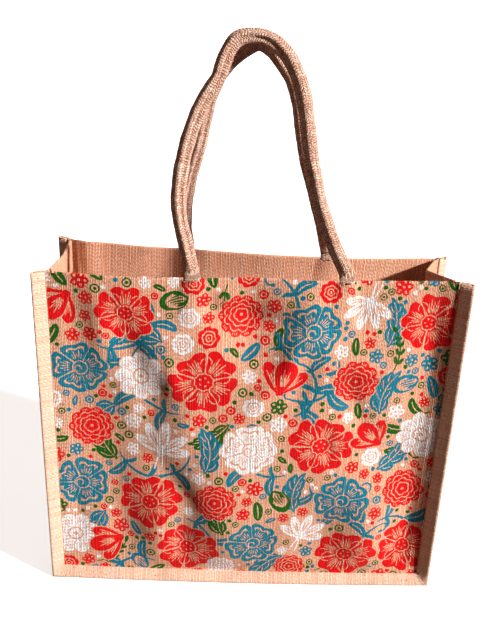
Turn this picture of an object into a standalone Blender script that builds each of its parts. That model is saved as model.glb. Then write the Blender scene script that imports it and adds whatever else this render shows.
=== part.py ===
"""Burlap shopping bag with two rolled handles, standing open on its base.

Frame: origin on the floor under the middle of the base, +X to the right of the printed front,
+Y towards the back, +Z up. The script works in metres; tables are in millimetres.
"""
from math import cos, exp, pi, radians, sin, tau

import bpy
from mathutils import Vector

MM = 0.001

# Driving sizes of the bag, metres.
RIM_HEIGHT = 0.356          # floor to the top of the front rim
SEAM_HALF_WIDTH = 0.196     # middle of the bag to the side seams
HALF_DEPTH = 0.052          # middle of the bag to the seams at the base
CLOTH = 0.0012              # thickness of one layer of burlap
LAYER_GAP = 0.0004          # air between layers that lie on each other
LAYER = CLOTH + LAYER_GAP   # pitch of stacked layers

# The seam allowances stand out all round as a bound flange.
FLANGE = 0.014
FLANGE_TURN = radians(30)   # how far the flange turns to the front or the back
SEAM_HEIGHT = FLANGE * cos(FLANGE_TURN) + 0.0001
PANEL_EDGE = 0.011          # how far panel and gusset reach into the flange

# The top hem of both panels.
HEM_DEPTH = 0.040
HEM_FADE = 0.014            # the ridge over a tail dies out this far below the hem
HEM_GAP = 0.0020            # pitch of the two layers away from the handles
TAIL_OPENING = 0.0030       # how much further the layers part over a handle's tail
RIM_OPENING = 0.0050        # and how much more right at the rim
RIM_FADE = 0.010            # depth over which the rim's opening closes
SLIT_HALF = 0.011           # half the slit in the fold that lets a handle out

# Handles.
ROLL_RADIUS = 0.0072
TAIL_LENGTH = 0.034
TAIL_HALF_WIDTH = 0.0120
TAIL_SHOULDER = 0.013       # the layers lie over the tail this far out, and close in as much again
TAIL_HALF_THICK = 0.0015
MOUTH_HALF_WIDTH = 0.0088   # the handle's flattened section at the rim
MOUTH_HALF_THICK = 0.0037
GROOVE = 0.16               # depth of the lengthwise groove as a share of the radius
GROOVE_AT = -2.2            # its place round the section, radians

# x of the handles' feet on each rim.
FEET = {-1: (-0.0590, 0.0870), 1: (-0.0700, 0.0770)}

# Rims seen from above: x, y and how far the rim sags under the front corners' height.
FRONT_RIM = (
    # x, y, sag
    (-196, -52, 0.0), (-152, -59, 0.3), (-98, -58, 0.6), (-52, -56, 0.6),
    (-5, -53, 0.6), (75, -50, 0.4), (137, -46, 0.2), (196, -44, 0.0),
)
BACK_RIM = (
    (-196, 52, 0.0), (-162, 45, 0.5), (-119, 38, 1.2), (-61, 36, 2.0),
    (8, 30, 3.0), (65, 29, 3.4), (110, 31, 4.0), (196, 44, 5.0),
)

# Belly of a panel across its width: share of the full bulge at x.
FRONT_BELLY = (
    (-196, 0.0), (-165, -0.20), (-100, 0.35), (-45, 0.90), (5, 1.00),
    (80, 0.85), (140, 0.35), (178, -0.18), (196, 0.0),
)
BACK_BELLY = (
    (-196, 0.0), (-160, 0.10), (-90, 0.65), (-20, 1.00), (60, 0.90), (130, 0.50), (196, 0.0),
)
BELLY = {-1: 0.012, 1: 0.009}

# Soft dents and ridges: x, z, half width, half height, depth towards the inside.
FRONT_DENTS = (
    (0, 311, 120, 15, 3.5), (-40, 326, 11, 13, 3.0), (104, 322, 12, 18, 1.6),
    (-184, 300, 9, 40, 1.8), (-120, 90, 60, 45, 2.2), (120, 70, 70, 40, -2.4),
)
BACK_DENTS = (
    (10, 308, 130, 18, 3.0), (-100, 120, 70, 60, -2.0), (90, 150, 60, 80, 2.4), (0, 60, 90, 35, 1.6),
)

# Routes of the handles above the rim: x and z of the middle of the roll.
FRONT_ROUTE = (
    (-60, 362), (-65.5, 385), (-71.5, 408), (-73.5, 430), (-70.5, 457), (-63.5, 485), (-53.5, 510),
    (-41, 530), (-36.5, 543), (-31, 556), (-23, 564.5), (-9, 567), (4, 564.5), (14, 558),
    (23.5, 548), (34.5, 527), (41, 505), (46, 482), (50, 457), (55, 434), (62, 411),
    (72, 388), (80, 373), (86, 362),
)
BACK_ROUTE = (
    (-70, 360), (-72, 383), (-70.5, 408), (-66, 434), (-58.5, 462), (-53.5, 488), (-47.5, 514),
    (-36, 537), (-22, 551), (-6, 560.5), (7, 555), (18, 543), (28, 529), (34.5, 511),
    (39, 490), (44, 465), (52, 438), (61, 411), (69.5, 383), (76.5, 358),
)
TOP_Y = 0.0076              # how far each handle lies from the middle where the two meet

# Gusset: how far its middle crease is folded in at the rim, left and right.
CREASE_IN = {-1: 0.003, 1: 0.019}
GUSSET_INSET = 0.0015       # the gusset's wall lies this far inside the seam line


def table(rows, value, column=1):
    """Smooth value of a table's column at a value of its first column."""
    xs = [row[0] for row in rows]
    ys = [row[column] for row in rows]
    value = min(max(value, xs[0]), xs[-1])
    k = min(max(sum(1 for x in xs if x <= value) - 1, 0), len(xs) - 2)
    span = xs[k + 1] - xs[k]
    slopes = []
    for i in (k, k + 1):
        low, high = max(i - 1, 0), min(i + 1, len(xs) - 1)
        slopes.append((ys[high] - ys[low]) / (xs[high] - xs[low]) * span)
    t = (value - xs[k]) / span
    return ((2 * t - 3) * t * t + 1) * ys[k] + ((t - 2) * t + 1) * t * slopes[0] \
        + (3 - 2 * t) * t * t * ys[k + 1] + (t - 1) * t * t * slopes[1]


def smooth(t):
    t = min(max(t, 0.0), 1.0)
    return t * t * (3 - 2 * t)


def rim_row(side):
    return FRONT_RIM if side < 0 else BACK_RIM


def rim_z(side, x):
    return RIM_HEIGHT - table(rim_row(side), x / MM, 2) * MM


def share_up(side, x, z):
    return min(max((z - SEAM_HEIGHT) / (rim_z(side, x) - SEAM_HEIGHT), 0.0), 1.0)


def seam_y(side, x, z):
    """Depth of the straight cloth between the base seam and the rim."""
    foot = side * (HALF_DEPTH + 0.003 * (1 - (x / SEAM_HALF_WIDTH) ** 2))
    return foot + share_up(side, x, z) * (table(rim_row(side), x / MM) * MM - foot)


def panel_y(side, x, z):
    """Middle of a panel's outer layer, without the opening over the handles' tails."""
    x = min(max(x, -SEAM_HALF_WIDTH), SEAM_HALF_WIDTH)
    up = share_up(side, x, z)
    belly = table(FRONT_BELLY if side < 0 else BACK_BELLY, x / MM) * BELLY[side] * sin(pi * up ** 0.85)
    edge = smooth((SEAM_HALF_WIDTH - abs(x)) / 0.022) * smooth((z - SEAM_HEIGHT) / 0.018)
    dents = 0.0
    for dent_x, dent_z, half_width, half_height, depth in FRONT_DENTS if side < 0 else BACK_DENTS:
        reach = ((x / MM - dent_x) / half_width) ** 2 + ((z / MM - dent_z) / half_height) ** 2
        dents += depth * MM * exp(-reach)
    return seam_y(side, x, z) + side * (belly - edge * dents)


def tail_share(side, x):
    """1 over a handle's tail, 0 away from it."""
    near = min(abs(x - foot) for foot in FEET[side])
    return 1 - smooth((near - TAIL_SHOULDER) / TAIL_SHOULDER)


def opening(side, x, depth):
    """Extra pitch of the hem's layers at a depth under the rim."""
    fade = 1 - smooth((depth - HEM_DEPTH) / HEM_FADE)
    return tail_share(side, x) * fade * (TAIL_OPENING + RIM_OPENING * exp(-max(depth, 0.0) / RIM_FADE))


def outer_y(side, x, z):
    return panel_y(side, x, z) + side * 0.6 * opening(side, x, rim_z(side, x) - z)


def inner_y(side, x, z):
    return panel_y(side, x, z) - side * (HEM_GAP + 0.4 * opening(side, x, rim_z(side, x) - z))


def new_object(name, vertices, faces, colour, roughness):
    """A mesh object in the bag's collection with a material of its own."""
    mesh = bpy.data.meshes.new(name)
    mesh.from_pydata([tuple(v) for v in vertices], [], faces)
    mesh.validate()
    piece = bpy.data.objects.new(name, mesh)
    bpy.data.collections[BAG].objects.link(piece)
    material = bpy.data.materials.new(name)
    material.use_nodes = True
    shader = material.node_tree.nodes["Principled BSDF"]
    shader.inputs["Base Color"].default_value = (*colour, 1.0)
    shader.inputs["Roughness"].default_value = roughness
    shader.inputs["Metallic"].default_value = 0.0
    mesh.materials.append(material)
    mesh.shade_smooth()
    return piece


def cloth_thickness(piece):
    """Gives an open sheet the thickness of one layer of burlap."""
    solid = piece.modifiers.new("cloth", "SOLIDIFY")
    solid.thickness = CLOTH
    solid.offset = 0.0
    solid.use_even_offset = True
    solid.use_quality_normals = True


class Sheet:
    """Grid of named points from which the faces of an open sheet are made."""

    def __init__(self):
        self.points = []
        self.index = {}
        self.faces = []

    def add(self, key, point):
        self.index[key] = len(self.points)
        self.points.append(point)

    def face(self, *keys):
        if all(key in self.index for key in keys):
            self.faces.append([self.index[key] for key in keys])


def turned_out(side_reach, base_reach):
    """How far forward or back a point of the flange stands, at its reach past each seam."""
    return max(side_reach, base_reach) * sin(FLANGE_TURN)


def panel_columns(side):
    """x of a panel's columns, with the reach past the side seam and whether a slit starts there."""
    columns = []
    for reach in (PANEL_EDGE, PANEL_EDGE / 2, 0.0):
        columns.append((-SEAM_HALF_WIDTH, reach, False))
    places = [(-0.187, False), (-0.172, False), (-0.148, False), (-0.120, False), (-0.094, False)]
    for foot in FEET[side]:
        for offset in (-0.026, -0.018, -SLIT_HALF, 0.0, SLIT_HALF, 0.018, 0.026):
            places.append((foot + offset, offset in (-SLIT_HALF, 0.0)))
    middle = sum(FEET[side]) / 2
    places += [(middle - 0.024, False), (middle, False), (middle + 0.024, False)]
    places += [(0.126, False), (0.148, False), (0.172, False), (0.187, False)]
    for x, slit in sorted(places):
        columns.append((x, 0.0, slit))
    for reach in (0.0, PANEL_EDGE / 2, PANEL_EDGE):
        columns.append((SEAM_HALF_WIDTH, reach, False))
    return columns


PANEL_HEIGHTS = (0.022, 0.045, 0.080, 0.120, 0.160, 0.200, 0.236, 0.266, 0.290)
UNDER_RIM = (0.052, 0.041, 0.030, 0.018, 0.009)
FOLD_STEPS = 3


def make_panel(name, side, colour):
    """One panel with its turned-in hem, open where the handles come out of the fold."""
    sheet = Sheet()
    columns = panel_columns(side)
    in_slit = [columns[i][2] and i > 0 and columns[i - 1][2] for i in range(len(columns))]
    for i, (x, reach, slit) in enumerate(columns):
        out_x = x + (reach if x > 0 else -reach) * cos(FLANGE_TURN)
        rim = rim_z(side, x)
        for j, drop in enumerate((PANEL_EDGE, PANEL_EDGE / 2, 0.0)):
            z = SEAM_HEIGHT - drop * cos(FLANGE_TURN)
            y = outer_y(side, x, SEAM_HEIGHT) + side * turned_out(reach, drop)
            sheet.add((i, j), Vector((out_x, y, z)))
        turn = side * turned_out(reach, 0.0)
        heights = list(PANEL_HEIGHTS) + [rim - under for under in UNDER_RIM]
        for j, z in enumerate(heights, 3):
            sheet.add((i, j), Vector((out_x, outer_y(side, x, z) + turn, z)))
        j = 3 + len(heights)
        hemmed = reach == 0.0 and abs(x) < SEAM_HALF_WIDTH - 0.005
        if not hemmed:
            sheet.add((i, j), Vector((out_x, outer_y(side, x, rim) + turn, rim - CLOTH / 2)))
            continue
        radius = (HEM_GAP + opening(side, x, 0.0)) / 2
        for step in range(FOLD_STEPS + 1):
            angle = pi * step / FOLD_STEPS
            if in_slit[i]:
                if step in (0, FOLD_STEPS):
                    y = outer_y(side, x, rim) if step == 0 else inner_y(side, x, rim)
                    sheet.add((i, j + step), Vector((x, y, rim - CLOTH / 2)))
                continue
            start = rim - CLOTH / 2 - radius
            middle = (outer_y(side, x, start) + inner_y(side, x, start)) / 2
            half = abs(outer_y(side, x, start) - inner_y(side, x, start)) / 2
            point = (x, middle + side * half * cos(angle), start + radius * sin(angle))
            sheet.add((i, j + step), Vector(point))
        for step, under in enumerate(UNDER_RIM[:0:-1], 1):
            z = rim - under
            sheet.add((i, j + FOLD_STEPS + step), Vector((x, inner_y(side, x, z), z)))
    rows = 3 + len(PANEL_HEIGHTS) + len(UNDER_RIM) + FOLD_STEPS + len(UNDER_RIM)
    for i in range(len(columns) - 1):
        for j in range(rows - 1):
            low, right, high, left = (i, j), (i + 1, j), (i + 1, j + 1), (i, j + 1)
            if j < 2 and i == j:
                sheet.face(low, right, high)
                sheet.face(low, high, left)
            elif j < 2 and i == len(columns) - 2 - j:
                sheet.face(low, right, left)
                sheet.face(right, high, left)
            else:
                sheet.face(low, right, high, left)
    piece = new_object(name, sheet.points, sheet.faces, colour, 0.95)
    cloth_thickness(piece)
    return piece


GUSSET_SHARES = (0.0, 0.08, 0.18, 0.31, 0.50, 0.69, 0.82, 0.92, 1.0)
GUSSET_HEIGHTS = (0.312, 0.280, 0.236, 0.190, 0.140, 0.090, 0.050, 0.026)
GUSSET_UNDER_RIM = (0.010, 0.022, 0.036)
BASE_STATIONS = (0.186, 0.150, 0.100, 0.050)


def crease(hand, share, z):
    """How far the gusset's wall stands in from the seam line."""
    up = min(max(z / RIM_HEIGHT, 0.0), 1.0)
    fold = 1 - abs(2 * share - 1) ** 1.1
    if hand > 0:
        depth = CREASE_IN[hand] * up ** 1.3
    else:
        depth = CREASE_IN[hand] * up ** 2
    puff = 0.0035 * sin(pi * up) * (1 - (2 * share - 1) ** 2)
    return depth * fold - puff


def gusset_wall(hand, share, z, inward=0.0):
    """A point of the gusset's side wall; hand is -1 left and 1 right."""
    seam_x = hand * SEAM_HALF_WIDTH
    front = seam_y(-1, seam_x, z) + 0.004
    back = seam_y(1, seam_x, z) - 0.004
    x = hand * (SEAM_HALF_WIDTH - GUSSET_INSET - inward - crease(hand, share, z))
    return Vector((x, front + share * (back - front), z))


def base_z(share):
    """Middle of the base cloth, flat in the middle and lifted to the seams."""
    low = CLOTH / 2
    high = SEAM_HEIGHT - 0.0012
    return low + (high - low) * smooth((abs(2 * share - 1) - 0.42) / 0.62)


def flange_point(side, hand, reach, x, z, layer, corner=False, base=False):
    """A point in the flange; layer is its offset through the flange towards the bag's inside."""
    y = seam_y(side, x, z) + side * (reach * sin(FLANGE_TURN) - layer / cos(FLANGE_TURN))
    if not base:
        x = x + hand * reach * cos(FLANGE_TURN)
    if base or corner:
        z = z - reach * cos(FLANGE_TURN)
    return Vector((x, y, z))


def gusset_strip(hand, z, kind, x=None):
    """One line across the gusset from the front flange to the back flange."""
    seam_x = hand * SEAM_HALF_WIDTH if x is None else x
    flags = {"corner": kind == "corner", "base": kind == "base"}
    line = []
    for reach in (PANEL_EDGE, PANEL_EDGE / 2, 0.0015):
        line.append(flange_point(-1, hand, reach, seam_x, z, LAYER, **flags))
    for share in GUSSET_SHARES:
        if kind == "side":
            line.append(gusset_wall(hand, share, z))
        else:
            low = base_z(share)
            point = gusset_wall(hand, share, low)
            if kind == "base":
                point.x = x
                front = seam_y(-1, x, SEAM_HEIGHT) + 0.004
                back = seam_y(1, x, SEAM_HEIGHT) - 0.004
                point.y = front + share * (back - front)
            line.append(point)
    for reach in (0.0015, PANEL_EDGE / 2, PANEL_EDGE):
        line.append(flange_point(1, hand, reach, seam_x, z, LAYER, **flags))
    return line


def gusset_rim(hand, share):
    """Height of the gusset's rim, which runs from the front rim's corner to the back one's."""
    seam_x = hand * SEAM_HALF_WIDTH
    front, back = rim_z(-1, seam_x), rim_z(1, seam_x)
    return front + share * (back - front) - 0.0012 * (1 - abs(2 * share - 1))


def gusset_side(hand):
    """Lines of one side wall, from its hem's edge over the rim and down to the base."""
    lines = []
    seam_x = hand * SEAM_HALF_WIDTH
    hemmed = range(1, len(GUSSET_SHARES) - 1)

    def body(under, layer):
        points = [None] * 3
        for k, share in enumerate(GUSSET_SHARES):
            z = gusset_rim(hand, share) - under
            inward = 0.0 if layer == 0 else HEM_GAP
            points.append(gusset_wall(hand, share, z, inward) if k in hemmed or layer == 0 else None)
        return points + [None] * 3

    for under in GUSSET_UNDER_RIM[::-1]:
        lines.append(body(under, 1))
    radius = HEM_GAP / 2
    for step in range(FOLD_STEPS, -1, -1):
        angle = pi * step / FOLD_STEPS
        line = [None] * 3
        for k, share in enumerate(GUSSET_SHARES):
            rim = gusset_rim(hand, share)
            start = rim - CLOTH / 2 - radius
            if k in hemmed:
                point = gusset_wall(hand, share, start, radius * (1 - cos(angle)))
                point.z += radius * sin(angle)
            else:
                point = gusset_wall(hand, share, rim - CLOTH / 2) if step == 0 else None
            line.append(point)
        line += [None] * 3
        if step == 0:
            for k, reach in enumerate((PANEL_EDGE, PANEL_EDGE / 2, 0.0015)):
                for side, place in ((-1, k), (1, -1 - k)):
                    top = rim_z(side, seam_x) - CLOTH / 2
                    line[place] = flange_point(side, hand, reach, seam_x, top, LAYER)
        lines.append(line)
    for under in GUSSET_UNDER_RIM:
        line = body(under, 0)
        for k, reach in enumerate((PANEL_EDGE, PANEL_EDGE / 2, 0.0015)):
            for side, place in ((-1, k), (1, -1 - k)):
                z = rim_z(side, seam_x) - under
                line[place] = flange_point(side, hand, reach, seam_x, z, LAYER)
        lines.append(line)
    for z in GUSSET_HEIGHTS:
        lines.append(gusset_strip(hand, z, "side"))
    lines.append(gusset_strip(hand, SEAM_HEIGHT, "corner"))
    return lines


def make_gusset(colour):
    """The strip that forms both side walls and the base."""
    lines = gusset_side(-1)
    for x in [-place for place in BASE_STATIONS] + [0.0] + list(BASE_STATIONS[::-1]):
        lines.append(gusset_strip(1, SEAM_HEIGHT, "base", x))
    lines += gusset_side(1)[::-1]
    sheet = Sheet()
    for i, line in enumerate(lines):
        for j, point in enumerate(line):
            if point is not None:
                sheet.add((i, j), point)
    for i in range(len(lines) - 1):
        for j in range(len(lines[0]) - 1):
            sheet.face((i, j), (i, j + 1), (i + 1, j + 1), (i + 1, j))
    piece = new_object("gusset", sheet.points, sheet.faces, colour, 0.95)
    cloth_thickness(piece)
    return piece


# Section of the folded binding: reach past the seam and offset through the flange, in metres.
BINDING_SECTION = (
    # reach, layer
    (0.0006, -LAYER), (0.0060, -LAYER), (0.0110, -LAYER), (0.0128, -LAYER * 0.55),
    (0.0134, LAYER / 2), (0.0128, LAYER * 1.55), (0.0110, LAYER * 2), (0.0065, LAYER * 2),
    (0.0030, LAYER * 2),
)
BINDING_HEIGHTS = (0.318, 0.280, 0.236, 0.190, 0.140, 0.090, 0.050, 0.026)
BINDING_BASE = (0.186, 0.150, 0.100, 0.050)


def make_binding(name, side, colour):
    """Folded tape round the flange, down one side, along the base and up the other."""
    stations = []
    for hand in (-1, 1):
        seam_x = hand * SEAM_HALF_WIDTH
        column = [(seam_x, rim_z(side, seam_x) - LAYER_GAP, "side", hand)]
        column += [(seam_x, z, "side", hand) for z in BINDING_HEIGHTS]
        column.append((seam_x, SEAM_HEIGHT, "corner", hand))
        if hand < 0:
            stations += column
            for x in [-place for place in BINDING_BASE] + [0.0] + list(BINDING_BASE[::-1]):
                stations.append((x, SEAM_HEIGHT, "base", 0))
        else:
            stations += column[::-1]
    sheet = Sheet()
    for i, (x, z, kind, hand) in enumerate(stations):
        flags = {"corner": kind == "corner", "base": kind == "base"}
        for j, (reach, layer) in enumerate(BINDING_SECTION):
            sheet.add((i, j), flange_point(side, hand, reach, x, z, layer, **flags))
    for i in range(len(stations) - 1):
        for j in range(len(BINDING_SECTION) - 1):
            sheet.face((i, j), (i, j + 1), (i + 1, j + 1), (i + 1, j))
    piece = new_object(name, sheet.points, sheet.faces, colour, 0.95)
    cloth_thickness(piece)
    return piece


def handle_y(side, z, foot_x):
    """Depth of a handle's middle: from its rim it leans in to meet the other handle at the top."""
    rim = rim_z(side, foot_x)
    foot = (outer_y(side, foot_x, rim) + inner_y(side, foot_x, rim)) / 2
    top = max(row[1] for row in (FRONT_ROUTE if side < 0 else BACK_ROUTE)) * MM
    up = min(max((z - rim) / (top - rim), 0.0), 1.0)
    return foot + (side * TOP_Y - foot) * up


def catmull(points, steps):
    """Smooth run of points through a list of vectors."""
    out = []
    ends = [2 * points[0] - points[1]] + points + [2 * points[-1] - points[-2]]
    for k in range(1, len(ends) - 2):
        a, b, c, d = ends[k - 1:k + 3]
        for step in range(steps):
            t = step / steps
            out.append(0.5 * (2 * b + (c - a) * t + (2 * a - 5 * b + 4 * c - d) * t * t
                              + (3 * b - a - 3 * c + d) * t ** 3))
    return out + [points[-1]]


def tail_stations(side, foot_x):
    """Middle, half width and half thickness of a handle's end, from its tip up to the rim."""
    rows = []
    rim = rim_z(side, foot_x)
    for under in (TAIL_LENGTH, 0.026, 0.018, 0.009, 0.0):
        close = exp(-under / RIM_FADE)
        half_width = TAIL_HALF_WIDTH + (MOUTH_HALF_WIDTH - TAIL_HALF_WIDTH) * close
        half_thick = TAIL_HALF_THICK + (MOUTH_HALF_THICK - TAIL_HALF_THICK) * close
        rows.append((Vector((foot_x, 0.0, rim - under)), half_width, half_thick, True))
    return rows


def make_handle(name, side, route, colour):
    """A rolled handle that flattens where it passes into the hem."""
    feet = FEET[side]
    path = []
    for x, z in route:
        across = smooth((x * MM - feet[0]) / (feet[1] - feet[0]))
        near, far = handle_y(side, z * MM, feet[0]), handle_y(side, z * MM, feet[1])
        path.append(Vector((x * MM, near + (far - near) * across, z * MM)))
    stations = tail_stations(side, feet[0])
    run = catmull(path, 2)
    for point in run:
        above = point.z - RIM_HEIGHT
        settle = smooth(above / 0.022)
        half_width = MOUTH_HALF_WIDTH + (ROLL_RADIUS - MOUTH_HALF_WIDTH) * settle
        half_thick = MOUTH_HALF_THICK + (ROLL_RADIUS - MOUTH_HALF_THICK) * settle
        lump = 1 + 0.03 * sin(point.z * 210 + point.x * 160)
        stations.append((point, half_width * lump, half_thick * lump, False))
    stations += tail_stations(side, feet[1])[::-1]
    sides = 10
    vertices = []
    for k, (point, half_width, half_thick, tail) in enumerate(stations):
        before = stations[max(k - 1, 0)][0]
        after = stations[min(k + 1, len(stations) - 1)][0]
        along = Vector((after.x - before.x, 0.0, after.z - before.z)) if tail else after - before
        along.normalize()
        depth = (Vector((0, 1, 0)) - along * along.y).normalized()
        width = along.cross(depth)
        for corner in range(sides):
            angle = tau * corner / sides + 0.3
            turn = abs((angle - GROOVE_AT + pi) % tau - pi)
            groove = 1.0 if tail else 1 - GROOVE * exp(-(turn / 0.35) ** 2)
            across = half_width * cos(angle) * groove
            through = half_thick * sin(angle) * groove
            place = point + width * across + depth * through
            if tail:
                between = outer_y(side, place.x, place.z) + inner_y(side, place.x, place.z)
                place.y = between / 2 + through
            vertices.append(place)
    faces = []
    for k in range(len(stations) - 1):
        for corner in range(sides):
            low, high = k * sides, (k + 1) * sides
            after = (corner + 1) % sides
            faces.append((low + corner, high + corner, high + after, low + after))
    faces.append(tuple(range(sides)))
    faces.append(tuple(range((len(stations) - 1) * sides, len(stations) * sides))[::-1])
    return new_object(name, vertices, faces, colour, 0.9)


BAG = "burlap_bag"
BURLAP = (0.62, 0.42, 0.27)
WEBBING = (0.56, 0.37, 0.24)


def main():
    for old in list(bpy.data.objects):
        bpy.data.objects.remove(old)
    collection = bpy.data.collections.new(BAG)
    bpy.context.scene.collection.children.link(collection)
    make_panel("front_panel", -1, BURLAP)
    make_panel("back_panel", 1, BURLAP)
    make_gusset(BURLAP)
    make_binding("front_binding", -1, BURLAP)
    make_binding("back_binding", 1, BURLAP)
    make_handle("front_handle", -1, FRONT_ROUTE, WEBBING)
    make_handle("back_handle", 1, BACK_ROUTE, WEBBING)


main()
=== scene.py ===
"""Burlap shopping bag with a printed front panel and two rolled handles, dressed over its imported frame.

Laid out as a Blender add-on: an operator for each group of pieces, one for the stage, and a panel that
lists them. Frame: origin on the floor under the middle of the base, +X to the right of the printed front,
+Y towards the back, +Z up, in metres. Tables are in millimetres and degrees.
"""
from math import ceil, cos, pi, radians, sin, tau

import bpy
import numpy as np
from bpy.props import FloatProperty, FloatVectorProperty, IntProperty, PointerProperty
from mathutils import Matrix, Vector
from mathutils.geometry import delaunay_2d_cdt


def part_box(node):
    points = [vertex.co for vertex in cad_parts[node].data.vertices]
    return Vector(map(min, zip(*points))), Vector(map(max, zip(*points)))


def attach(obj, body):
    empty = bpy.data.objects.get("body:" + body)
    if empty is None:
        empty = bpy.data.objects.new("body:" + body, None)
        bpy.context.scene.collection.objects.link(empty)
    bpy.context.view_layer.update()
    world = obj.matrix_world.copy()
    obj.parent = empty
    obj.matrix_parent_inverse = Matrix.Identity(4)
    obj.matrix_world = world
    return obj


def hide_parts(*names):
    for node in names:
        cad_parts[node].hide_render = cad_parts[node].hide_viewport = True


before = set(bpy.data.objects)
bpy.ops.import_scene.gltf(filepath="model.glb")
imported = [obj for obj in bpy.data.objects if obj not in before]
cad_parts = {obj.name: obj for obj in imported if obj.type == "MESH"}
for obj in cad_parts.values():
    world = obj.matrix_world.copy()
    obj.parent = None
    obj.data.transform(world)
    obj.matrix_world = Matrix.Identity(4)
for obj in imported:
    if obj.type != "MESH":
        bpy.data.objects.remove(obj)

bl_info = {
    "name": "Burlap bag",
    "version": (1, 0, 0),
    "blender": (4, 5, 0),
    "location": "View3D > Sidebar > Burlap bag",
    "description": "Cloth, print, handles and stage of a burlap shopping bag",
    "category": "Object",
}

MM = 0.001
FRONT, BACK = -1, 1
LEFT, RIGHT = -1, 1

# Rims seen from above: x, y and how far the rim sags under the front corners' height.
RIMS = {
    FRONT: (
        (-196, -52, 0.0), (-152, -59, 0.3), (-98, -58, 0.6), (-52, -56, 0.6),
        (-5, -53, 0.6), (75, -50, 0.4), (137, -46, 0.2), (196, -44, 0.0),
    ),
    BACK: (
        (-196, 52, 0.0), (-162, 45, 0.5), (-119, 38, 1.2), (-61, 36, 2.0),
        (8, 30, 3.0), (65, 29, 3.4), (110, 31, 4.0), (196, 44, 5.0),
    ),
}

# Belly of a panel across its width: x and share of the full bulge.
BELLIES = {
    FRONT: (
        (-196, 0.0), (-165, -0.20), (-100, 0.35), (-45, 0.90), (5, 1.00),
        (80, 0.85), (140, 0.35), (178, -0.18), (196, 0.0),
    ),
    BACK: (
        (-196, 0.0), (-160, 0.10), (-90, 0.65), (-20, 1.00), (60, 0.90), (130, 0.50), (196, 0.0),
    ),
}
BULGE = {FRONT: 0.012, BACK: 0.009}

# Soft dents (and ridges, under 0): x, z, half width, half height, depth towards the inside.
DENTS = {
    FRONT: (
        (0, 311, 120, 15, 3.2), (-40, 326, 11, 13, 3.9), (104, 322, 12, 18, 1.8), (-168, 305, 16, 42, 3.2),
        (-141, 190, 34, 75, 7.8), (-30, 140, 34, 50, -4.7), (-4, 315, 24, 40, 8.5), (56, 306, 22, 42, -8.5),
        (148, 164, 36, 40, 7.8), (186, 280, 28, 74, 6.5), (186, 72, 32, 60, 6.5), (132, 72, 26, 46, -7.2),
        (-20, 62, 30, 50, -5.9), (84, 66, 26, 44, 3.9), (-92, 62, 16, 42, -4.2), (-66, 62, 14, 40, 3.4),
        (-130, 72, 18, 42, 4.2),
    ),
    BACK: (
        (10, 308, 130, 18, 3.0), (-100, 120, 70, 60, -2.0), (90, 150, 60, 80, 2.4), (0, 60, 90, 35, 1.6),
        (-176, 345, 13, 50, 3.6),
    ),
}

# Creases of the cloth: middle x and z, half length, half width, turn from level, depth towards the inside.
CREASES = {
    FRONT: (
        (-114, 268, 50, 14, 104, 5.2), (-92, 222, 34, 13, 75, 3.9), (-72, 126, 52, 14, 122, 3.9),
        (37, 274, 26, 10, 82, -3.9), (16, 242, 30, 10, 48, -4.7), (50, 254, 34, 12, 72, 4.7),
        (106, 222, 34, 12, 112, 4.2), (120, 262, 34, 11, -4, -2.9), (80, 178, 18, 8, 98, 2.6),
        (38, 108, 32, 7, 2, 1.8), (-147, 302, 34, 10, 92, -2.3), (-78, 252, 20, 11, 96, -3.9),
        (-62, 200, 26, 13, 70, -3.2), (-180, 90, 30, 9, 92, 1.8), (-62, 52, 56, 11, 6, 1.1),
        (88, 40, 60, 11, -5, 1.1), (-12, 318, 26, 9, -12, 1.1), (66, 318, 30, 9, 14, 1.1),
    ),
    BACK: (
        (-118, 250, 62, 11, 80, 1.5), (-60, 178, 60, 13, 58, 1.5), (20, 236, 66, 12, 100, 1.4),
        (76, 150, 60, 13, 118, 1.6), (142, 248, 58, 10, 82, 1.4), (-140, 96, 52, 11, 70, 1.4),
        (8, 92, 74, 12, 8, 1.3), (128, 66, 50, 10, 150, 1.2), (-40, 318, 46, 7, -6, 0.9),
        (96, 322, 42, 7, 8, 0.9), (-30, 270, 40, 9, 30, 1.0), (40, 190, 50, 10, 60, -1.1),
    ),
}

# x of the handles' feet on each rim.
FEET = {FRONT: (-0.0590, 0.0870), BACK: (-0.0700, 0.0770)}

# Routes of the handles above the rim: x and z of the middle of the roll.
ROUTES = {
    FRONT: (
        (-60, 362), (-65.5, 385), (-71.5, 408), (-73.5, 430), (-70.5, 457), (-63.5, 485),
        (-53.5, 510), (-41, 530), (-36.5, 543), (-31, 556), (-23, 564.5), (-9, 567), (4, 564.5),
        (14, 558), (23.5, 548), (34, 527), (39.5, 505), (43.5, 482), (48, 457), (54, 434), (62, 411),
        (72, 388), (80, 373), (86, 362),
    ),
    BACK: (
        (-70, 360), (-72, 383), (-70.5, 408), (-66, 434), (-58.5, 462), (-53.5, 488), (-47.5, 514),
        (-36, 537), (-22, 551), (-6, 560.5), (7, 555), (18, 543), (28, 529), (34.5, 511),
        (39, 490), (44, 465), (52, 438), (61, 411), (69.5, 383), (76.5, 358),
    ),
}

# Half width and half thickness of a handle where it leaves the fold, and in the hem.
MOUTH_HALF = (0.0076, 0.0038)
TAIL_HALF = (0.0120, 0.0015)

# Lengthwise flutes of a rolled handle: place round its section, half width, depth as a share of the radius.
FLUTES = ((-119, 18, 0.36), (-54, 11, 0.12), (18, 12, 0.09), (100, 18, 0.26), (165, 13, 0.10))

# Gusset: how far its middle crease is folded in at the rim, left and right.
CREASE_IN = {LEFT: 0.003, RIGHT: 0.019}

# Depths under the rim at which the gusset's hem and wall have a line of points.
GUSSET_HEM_LINES = (0.004, 0.009, 0.015, 0.022, 0.029, 0.036)

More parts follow.
